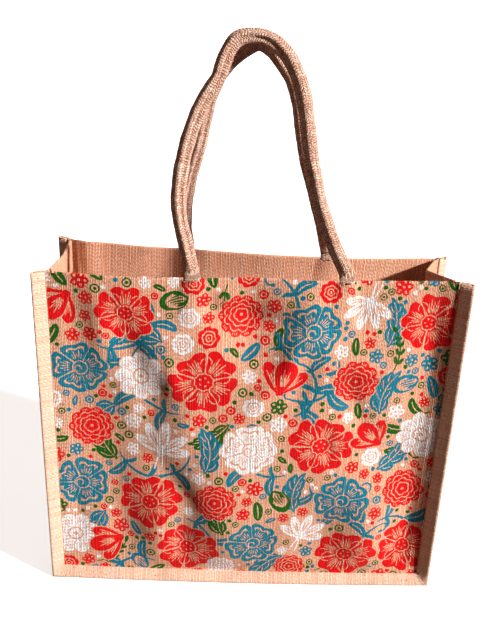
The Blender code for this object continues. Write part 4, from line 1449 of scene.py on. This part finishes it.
class Group(Net):
    """A shared shader group over a cloth's flat coordinates, its other inputs given by their defaults."""

    def __init__(self, name, outputs, inputs):
        super().__init__(bpy.data.node_groups.new(name, "ShaderNodeTree"))
        add = self.tree.interface.new_socket
        add(name="Cloth", in_out="INPUT", socket_type="NodeSocketVector")
        for label, default in inputs.items():
            kind = "NodeSocketFloat" if isinstance(default, float) else "NodeSocketColor"
            add(name=label, in_out="INPUT", socket_type=kind).default_value = default
        for label in outputs:
            kind = "NodeSocketColor" if label == "Color" else "NodeSocketFloat"
            add(name=label, in_out="OUTPUT", socket_type=kind)
        self.entry = self.tree.nodes.new("NodeGroupInput").outputs
        self.ending = self.tree.nodes.new("NodeGroupOutput").inputs

    def finish(self, **results):
        for label, socket in results.items():
            self.tree.links.new(socket, self.ending[label])


ANY_COLOUR = (0.5, 0.5, 0.5, 1.0)


def weave_group():
    """Plain weave of uneven yarns, the upright ones bolder."""
    net = Group("Burlap weave", ("Height", "Gaps", "Tone"), {
        "Rib pitch": 0.00165, "Weft pitch": 0.0021, "Unevenness": 0.5, "Weft share": 0.6})
    entry = net.entry
    cloth = entry["Cloth"]
    flat = net.node("ShaderNodeSeparateXYZ", {0: cloth})
    drift = net.wobble(cloth, 38, 14)
    drift_up = net.wobble(cloth, 14, 52)
    shake = net.wobble(cloth, 620, 110)
    uneven = entry["Unevenness"]
    wander = net.times(drift, 2.6, net.times(shake, 0.6))
    across = net.math("DIVIDE", flat.outputs[0], entry["Rib pitch"])
    across = net.times(wander, uneven, across)
    yarn = net.chance(net.math("FLOOR", across))
    between = net.chance(net.math("FLOOR", net.math("ADD", across, 0.5)))
    up = net.math("DIVIDE", flat.outputs[1], entry["Weft pitch"])
    wander = net.times(drift_up, 2.6, net.times(shake, 0.7))
    up = net.times(wander, uneven, up)
    passing = net.math("SINE", net.times(up, pi, net.times(yarn, tau)))
    warp_round = net.rounded(across)
    weft_round = net.rounded(up)
    warp_high = net.times(warp_round, net.times(passing, 0.27, 0.73))
    weft_high = net.times(net.times(weft_round, entry["Weft share"]), 0.52)
    height = net.math("MAXIMUM", warp_high, weft_high)
    streak = net.noise(cloth, 560, 130, detail=3, rough=0.65)
    fleck = net.noise(cloth, 900, 420, detail=2, rough=0.7)
    tone = net.times(yarn, 0.34, net.times(streak, 0.50))
    tone = net.times(fleck, 0.35, tone)
    # How dark each gap between the yarns is painted, as painted shade, varying at random from gap to gap.
    depth = net.times(streak, 0.74, net.times(between, 0.26))
    depth = net.spread(depth, 0.32, 0.66, 0.14, 1.25)
    gaps = net.math("MULTIPLY", net.spread(height, 0.14, 0.70, 1.0, 0.0), depth, clamp=True)
    height = net.times(fleck, 0.18, height)
    net.finish(Height=height, Gaps=gaps, Tone=tone)


def braid_group():
    """Herringbone of cords along a webbing: slanting cords that meet along its middle lines."""
    net = Group("Webbing braid", ("Height", "Gaps", "Tone"), {"Cord pitch": 0.0024, "Band width": 0.0033})
    entry = net.entry
    cloth = entry["Cloth"]
    flat = net.node("ShaderNodeSeparateXYZ", {0: cloth})
    shake = net.wobble(cloth, 340, 130, detail=2)
    band = net.math("DIVIDE", flat.outputs[0], entry["Band width"])
    fold = net.math("PINGPONG", band, 1.0)
    along = net.math("DIVIDE", flat.outputs[1], entry["Cord pitch"])
    slant = net.times(fold, 0.80, along)
    slant = net.times(shake, 1.5, slant)
    cord = net.rounded(slant)
    seam = net.math("ABSOLUTE", net.times(fold, 2.0, -1.0))
    seam = net.spread(seam, 0.72, 1.0, 1.0, 0.35)
    strand = net.noise(cloth, 520, 260, detail=1)
    strand = net.spread(strand, 0.34, 0.58, 0.40, 1.0)
    height = net.times(net.times(cord, seam), strand)
    yarn = net.chance(net.math("FLOOR", slant))
    fleck = net.noise(cloth, 900, 700, detail=3, rough=0.7)
    wide = net.noise(cloth, 90, 24, detail=2)
    tone = net.times(yarn, 0.25, net.times(fleck, 0.5))
    tone = net.times(wide, 0.3, tone)
    # Gaps between the cords, which the jute colour darkens as painted shade.
    gaps = net.spread(height, 0.10, 0.70, 1.0, 0.0)
    height = net.times(fleck, 0.25, height)
    net.finish(Height=height, Gaps=gaps, Tone=tone)


def jute_group():
    """Colour of jute from its tone, with painted shade in the gaps between its yarns."""
    net = Group("Jute colour", ("Color",), {
        "Tone": 0.5, "Gaps": 0.0, "Light": ANY_COLOUR, "Middle": ANY_COLOUR, "Dark": ANY_COLOUR,
        "Gap depth": 0.7})
    entry = net.entry
    tone = entry["Tone"]
    colour = net.blend(net.spread(tone, 0.40, 0.72), entry["Middle"], entry["Light"])
    colour = net.blend(net.spread(tone, 0.42, 0.20, 0.0, 0.45), colour, entry["Dark"])
    broad, fine = (9, 7, 3, 0.45, 0.75, 0.12), (420, 210, 1, 0.70, 0.80, 0.6)
    for x, y, detail, low, high, most in (broad, fine):
        patch = net.noise(entry["Cloth"], x, y, detail)
        colour = net.blend(net.spread(patch, low, high, 0.0, most), colour, entry["Dark"])
    # The gaps between the yarns or cords are blended towards the dark colour: painted shade.
    gap = net.times(entry["Gaps"], entry["Gap depth"])
    net.finish(Color=net.blend(gap, colour, entry["Dark"]))


def ink_group():
    """Screen-printed ink that lies on the yarns and misses some of the gaps between them."""
    net = Group("Ink on the weave", ("Color", "Mask"), {
        "Burlap": ANY_COLOUR, "Ink": ANY_COLOUR, "Cover": 1.0, "Gaps": 0.0, "Tone": 0.5, "Missed gaps": 0.03,
        "Missed gaps, thin ink": 0.42})
    entry = net.entry
    thin = net.noise(entry["Cloth"], 260, 120, detail=3, rough=0.65)
    most, least = entry["Missed gaps, thin ink"], entry["Missed gaps"]
    missed = net.spread(entry["Cover"], 0.5, 1.0, most, least, soft=False)
    missed = net.times(entry["Gaps"], missed)
    worn = net.spread(thin, 0.62, 0.82, 0.0, 0.09)
    mask = net.math("SUBTRACT", net.math("SUBTRACT", 1.0, missed), worn, clamp=True)
    mask = net.times(mask, net.math("GREATER_THAN", entry["Cover"], 0.25))
    shade = net.spread(entry["Tone"], 0.25, 0.75, 0.50, 1.26, soft=False)
    # The ink is darker in the gaps between the yarns: painted shade.
    shade = net.times(shade, net.spread(entry["Gaps"], 0.2, 1.0, 1.0, 0.34))
    pigment = net.node("ShaderNodeVectorMath", {0: entry["Ink"], 3: shade}, operation="SCALE").outputs[0]
    net.finish(Color=net.blend(mask, entry["Burlap"], pigment), Mask=mask)


def marks_group():
    """Handling marks: broad grime and a few small brown stains."""
    net = Group("Handling marks", ("Color",), {
        "Color": ANY_COLOUR, "Stain": (0.22, 0.10, 0.05, 1.0), "Amount": 0.3, "Streaks": 0.0})
    entry = net.entry
    cloth = entry["Cloth"]
    grime = net.spread(net.noise(cloth, 26, 18, detail=4, rough=0.6), 0.52, 0.80)
    spots = net.spread(net.noise(cloth, 75, 60, detail=2), 0.74, 0.82)
    share = net.times(net.math("MAXIMUM", grime, spots), entry["Amount"])
    streak = net.spread(net.noise(cloth, 220, 46, detail=3, rough=0.7), 0.56, 0.76)
    share = net.math("MAXIMUM", share, net.times(streak, entry["Streaks"]))
    net.finish(Color=net.blend(share, entry["Color"], entry["Stain"]))


def shared_groups():
    """The node groups, built once."""
    makers = {
        "Burlap weave": weave_group, "Webbing braid": braid_group, "Jute colour": jute_group,
        "Ink on the weave": ink_group, "Handling marks": marks_group,
    }
    for name, make in makers.items():
        if name not in bpy.data.node_groups:
            make()
    return {name: bpy.data.node_groups[name] for name in makers}


def rgba(colour):
    return (*colour[:3], 1.0)


class Cloth:
    """A cloth material under construction: its net, shader, shared groups and flat coordinates."""

    def __init__(self, name, roughness=0.92):
        self.material = bpy.data.materials.new(name)
        self.material.use_nodes = True
        self.net = Net(self.material.node_tree)
        self.shader = self.material.node_tree.nodes["Principled BSDF"]
        surface = {"Roughness": roughness, "Specular IOR Level": 0.04, "Sheen Weight": 0.05,
                   "Sheen Roughness": 0.55, "Sheen Tint": (1.0, 0.80, 0.66, 1.0)}
        for label, value in surface.items():
            self.shader.inputs[label].default_value = value
        self.groups = shared_groups()
        uv = self.net.node("ShaderNodeUVMap", uv_map="cloth")
        self.cloth = uv.outputs[0]

    def group(self, name, inputs=None):
        """A shared group over the cloth's flat coordinates; gives its outputs."""
        inputs = {"Cloth": self.cloth, **(inputs or {})}
        return self.net.node("ShaderNodeGroup", inputs, node_tree=self.groups[name]).outputs

    def link(self, socket, name):
        self.net.tree.links.new(socket, self.shader.inputs[name])

    def jute(self, yarns, light, middle, dark, gap_shade):
        """Jute coloured by the tone of a weave or braid, its gaps darkened as painted shade."""
        return self.group("Jute colour", {
            "Tone": yarns["Tone"], "Gaps": yarns["Gaps"], "Light": rgba(light), "Middle": rgba(middle),
            "Dark": rgba(dark), "Gap depth": gap_shade})["Color"]

    def finish(self, colour, height, distance, marks=None, streaks=0.0):
        """Gives the cloth its colour, under handling marks if it has any, and its bump."""
        if marks is not None:
            worn = self.group("Handling marks", {"Color": colour, "Amount": marks, "Streaks": streaks})
            colour = worn["Color"]
        self.link(colour, "Base Color")
        bump = self.net.node("ShaderNodeBump", {"Height": height, "Distance": distance, "Strength": 0.8})
        self.link(bump.outputs[0], "Normal")
        return self.material


def burlap(name, colours, pitch, marks, yarn="burlap", streaks=0.0, printed=False, uneven=0.5, depth=0.75):
    """Burlap, plain or with the print over it."""
    made = Cloth(name)
    weave = made.group("Burlap weave", {"Rib pitch": pitch, "Unevenness": uneven})
    light, middle = getattr(colours, f"{yarn}_light"), getattr(colours, f"{yarn}_middle")
    # depth sets how dark the gaps between the yarns are painted: painted shade.
    colour = made.jute(weave, light, middle, colours.burlap_dark_and_gap_shade, depth)
    if printed:
        layer = made.net.node("ShaderNodeAttribute", attribute_name="ink").outputs
        ink = made.group("Ink on the weave", {
            "Burlap": colour, "Ink": layer["Color"], "Cover": layer["Alpha"], "Gaps": weave["Gaps"],
            "Tone": weave["Tone"]})
        colour = ink["Color"]
        made.link(made.net.spread(ink["Mask"], 0.0, 1.0, 0.92, 0.70), "Roughness")
    return made.finish(colour, weave["Height"], 0.0006, marks, streaks)


def webbing(name, colours):
    """Braided jute webbing of the rolled handles."""
    made = Cloth(name)
    braid = made.group("Webbing braid")
    # 0.75 sets how dark the gaps between the cords are painted: painted shade.
    colour = made.jute(braid, colours.webbing_light, colours.webbing_middle, colours.webbing_dark_and_gap_shade, 0.75)
    return made.finish(colour, braid["Height"], 0.0009, 0.25)


def plain_fibre(name, light, dark):
    """Thread or loose fibre, lighter and darker along its length."""
    made = Cloth(name, 0.85)
    place = made.net.node("ShaderNodeTexCoord").outputs["Object"]
    noise = made.net.noise(place, 900, 900)
    colour = made.net.blend(made.net.spread(noise, 0.35, 0.65), rgba(dark), rgba(light))
    return made.finish(colour, noise, 0.0002)


def floor_material(colour):
    """Pale matt floor with the faintest mottle."""
    material = bpy.data.materials.new("pale_floor")
    material.use_nodes = True
    net = Net(material.node_tree)
    shader = material.node_tree.nodes["Principled BSDF"]
    place = net.node("ShaderNodeTexCoord").outputs["Object"]
    mottle = net.spread(net.noise(place, 4, 4, detail=3), 0.3, 0.7, 0.0, 0.05)
    net.tree.links.new(net.blend(mottle, rgba(colour), (0.7, 0.7, 0.7, 1.0)), shader.inputs["Base Color"])
    shader.inputs["Roughness"].default_value = 0.9
    shader.inputs["Emission Color"].default_value = rgba(colour)
    shader.inputs["Emission Strength"].default_value = FLOOR_GLOW
    return material


# ---------------------------------------------------------------- operators

def settings(context):
    """The scene's sizes, colours, print and stage."""
    scene = context.scene
    return scene.bag_sizes, scene.bag_colours, scene.bag_print, scene.bag_stage


class BAG_OT_printed_panel(bpy.types.Operator):
    """Makes the front panel with its turned-in hem and its flowered print"""

    bl_idname = "bag.printed_panel"
    bl_label = "Printed front panel"

    def execute(self, context):
        sizes, colours, printing, _ = settings(context)
        shape = BagShape(sizes)
        half_width, low = shape.half / MM - 0.4, shape.seam_z / MM - 1.5
        high = shape.rim / MM + 6.0     # over the fold and a little way down the hem
        layout = PrintLayout(printing, sizes.rib_pitch, half_width, low, high)
        cover = {"red": 1.0, "teal": 1.0, "green": 1.0, "white": 0.6}
        inks = {name: (*getattr(colours, name), share) for name, share in cover.items()}
        piece = make_panel("front_panel_cloth", FRONT, shape, layout.fill(), inks)
        material = burlap("printed_burlap", colours, sizes.rib_pitch, 0.12, printed=True)
        dress(piece, material, "front_panel")
        return {"FINISHED"}


class BAG_OT_back_panel(bpy.types.Operator):
    """Makes the plain back panel with its turned-in hem"""

    bl_idname = "bag.back_panel"
    bl_label = "Back panel"

    def execute(self, context):
        sizes, colours, _, _ = settings(context)
        piece = make_panel("back_panel_cloth", BACK, BagShape(sizes), (), {})
        dress(piece, burlap("plain_burlap", colours, sizes.rib_pitch, 0.30), "back_panel")
        return {"FINISHED"}


class BAG_OT_gusset(bpy.types.Operator):
    """Makes the strip of both sides and the base"""

    bl_idname = "bag.gusset"
    bl_label = "Gusset"

    def execute(self, context):
        sizes, colours, _, _ = settings(context)
        piece = make_gusset(BagShape(sizes))
        dress(piece, burlap("gusset_burlap", colours, sizes.rib_pitch, 0.30), "gusset")
        return {"FINISHED"}


class BAG_OT_bindings(bpy.types.Operator):
    """Makes the folded tapes that bind the front and back seams, with their stitches"""

    bl_idname = "bag.bindings"
    bl_label = "Bindings"

    def execute(self, context):
        sizes, colours, _, _ = settings(context)
        shape = BagShape(sizes)
        # depth sets the painted shade in the tape's gaps.
        tape = burlap("binding_tape", colours, 0.0017, 0.22, "tape", streaks=0.10, uneven=0.9, depth=0.45)
        thread = plain_fibre("sewing_thread", colours.tape_light, colours.tape_middle)
        for label, side in (("front", FRONT), ("back", BACK)):
            piece = make_binding(f"{label}_binding_tape", side, shape)
            dress(piece, tape, f"{label}_binding")
            stitches = make_stitches(f"{label}_binding_stitches", shape, side)
            dress(stitches, thread, None)
        return {"FINISHED"}


class BAG_OT_handles(bpy.types.Operator):
    """Makes the two rolled handles"""

    bl_idname = "bag.handles"
    bl_label = "Handles"

    def execute(self, context):
        sizes, colours, _, _ = settings(context)
        shape = BagShape(sizes)
        braid = webbing("rolled_webbing", colours)
        for label, side in (("front", FRONT), ("back", BACK)):
            piece = make_handle(f"{label}_handle_roll", side, shape)
            dress(piece, braid, f"{label}_handle")
        return {"FINISHED"}


class BAG_OT_fibres(bpy.types.Operator):
    """Scatters loose jute fibres over the rims, flanges and handles"""

    bl_idname = "bag.fibres"
    bl_label = "Loose fibres"

    def execute(self, context):
        sizes, colours, _, _ = settings(context)
        piece = make_fibres(BagShape(sizes))
        dress(piece, plain_fibre("loose_jute", colours.burlap_light, colours.burlap_middle), None)
        return {"FINISHED"}


class BAG_OT_stage(bpy.types.Operator):
    """Sets up the floor, the lights and the camera"""

    bl_idname = "bag.stage"
    bl_label = "Stage"

    def execute(self, context):
        scene = context.scene
        stage = scene.bag_stage
        scene.view_settings.view_transform = "Standard"
        self.floor(stage)
        self.lights(scene, stage)
        self.camera(scene)
        return {"FINISHED"}

    @staticmethod
    def floor(stage):
        """A round floor that curves up into a backdrop on every side."""
        flat, bend, top, turns = FLOOR
        profile = [(0.05, 0.0), (flat, 0.0)]
        profile += [(flat + bend * sin(a), bend * (1 - cos(a))) for a in spaced(0.0, pi / 2, pi / 36)[1:]]
        profile.append((flat + bend, top))
        angles = [turn * tau / turns for turn in range(turns)]
        points = [(reach * cos(a), reach * sin(a), z - FLOOR_DROP) for reach, z in profile for a in angles]
        faces = [*grid_faces(len(profile), turns, closed=True), tuple(range(turns))]
        mesh = bpy.data.meshes.new("floor")
        mesh.from_pydata(points, [], faces)
        mesh.shade_smooth()
        mesh.materials.append(floor_material(stage.floor))
        floor = bpy.data.objects.new("floor", mesh)
        bpy.context.scene.collection.objects.link(floor)
        floor.visible_diffuse = False
        floor.visible_shadow = False

    @staticmethod
    def lamp(scene, name, place, energy, size, colour):
        """A light as even as the sun's, from a place towards the bag."""
        light = bpy.data.lights.new(name, "SUN")
        light.angle = size
        light.energy = energy
        light.color = colour
        holder = bpy.data.objects.new(name, light)
        holder.location = place
        aim = Vector(LIGHTS_AIM) - holder.location
        holder.rotation_euler = aim.to_track_quat("-Z", "Y").to_euler()
        scene.collection.objects.link(holder)

    def lights(self, scene, stage):
        """A low key light from the right, grazing the front, a soft light behind and an even fill."""
        self.lamp(scene, "key", KEY_PLACE, stage.key, stage.key_size, (1.0, 0.98, 0.95))
        self.lamp(scene, "back_light", BACK_LIGHT_PLACE, stage.back, radians(40), (1.0, 0.95, 0.90))
        world = bpy.data.worlds.new("studio")
        world.use_nodes = True
        background = world.node_tree.nodes["Background"]
        background.inputs[0].default_value = FILL_COLOUR
        background.inputs[1].default_value = stage.fill
        scene.world = world

    @staticmethod
    def camera(scene):
        """The photograph's view."""
        pitch, yaw, roll = (radians(degrees) for degrees in CAMERA_TURNS)
        forward = Vector((sin(yaw) * cos(pitch), cos(yaw) * cos(pitch), -sin(pitch)))
        level = Vector((cos(yaw), -sin(yaw), 0.0))
        upright = level.cross(forward)
        right = cos(roll) * level + sin(roll) * upright
        up = cos(roll) * upright - sin(roll) * level
        lens = bpy.data.cameras.new("camera")
        lens.sensor_width = 36.0
        lens.lens = FOCUS * lens.sensor_width / PHOTO_HEIGHT
        lens.clip_start = 0.02
        camera = bpy.data.objects.new("camera", lens)
        turn = Matrix((right, up, -forward)).transposed().to_4x4()
        camera.matrix_world = Matrix.Translation(CAMERA_PLACE) @ turn
        scene.collection.objects.link(camera)
        scene.camera = camera


OPERATORS = (
    BAG_OT_printed_panel, BAG_OT_back_panel, BAG_OT_gusset, BAG_OT_bindings, BAG_OT_handles,
    BAG_OT_fibres, BAG_OT_stage,
)
GROUPS = {"bag_sizes": BagSizes, "bag_colours": BagColours, "bag_print": BagPrint, "bag_stage": BagStage}


class VIEW3D_PT_burlap_bag(bpy.types.Panel):
    """Lists the bag's operators and settings"""

    bl_label = "Burlap bag"
    bl_space_type = "VIEW_3D"
    bl_region_type = "UI"
    bl_category = "Burlap bag"

    def draw(self, context):
        for operator in OPERATORS:
            self.layout.operator(operator.bl_idname)
        for name, group in GROUPS.items():
            box = self.layout.box()
            for label in group.__annotations__:
                box.prop(getattr(context.scene, name), label)


CLASSES = (*GROUPS.values(), *OPERATORS, VIEW3D_PT_burlap_bag)


def register():
    for cls in CLASSES:
        bpy.utils.register_class(cls)
    for name, group in GROUPS.items():
        setattr(bpy.types.Scene, name, PointerProperty(type=group))


def unregister():
    for name in GROUPS:
        delattr(bpy.types.Scene, name)
    for cls in reversed(CLASSES):
        bpy.utils.unregister_class(cls)


def main():
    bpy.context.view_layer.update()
    register()
    bpy.ops.bag.printed_panel()
    bpy.ops.bag.back_panel()
    bpy.ops.bag.gusset()
    bpy.ops.bag.bindings()
    bpy.ops.bag.handles()
    bpy.ops.bag.fibres()
    bpy.ops.bag.stage()


if __name__ == "__main__":
    main()
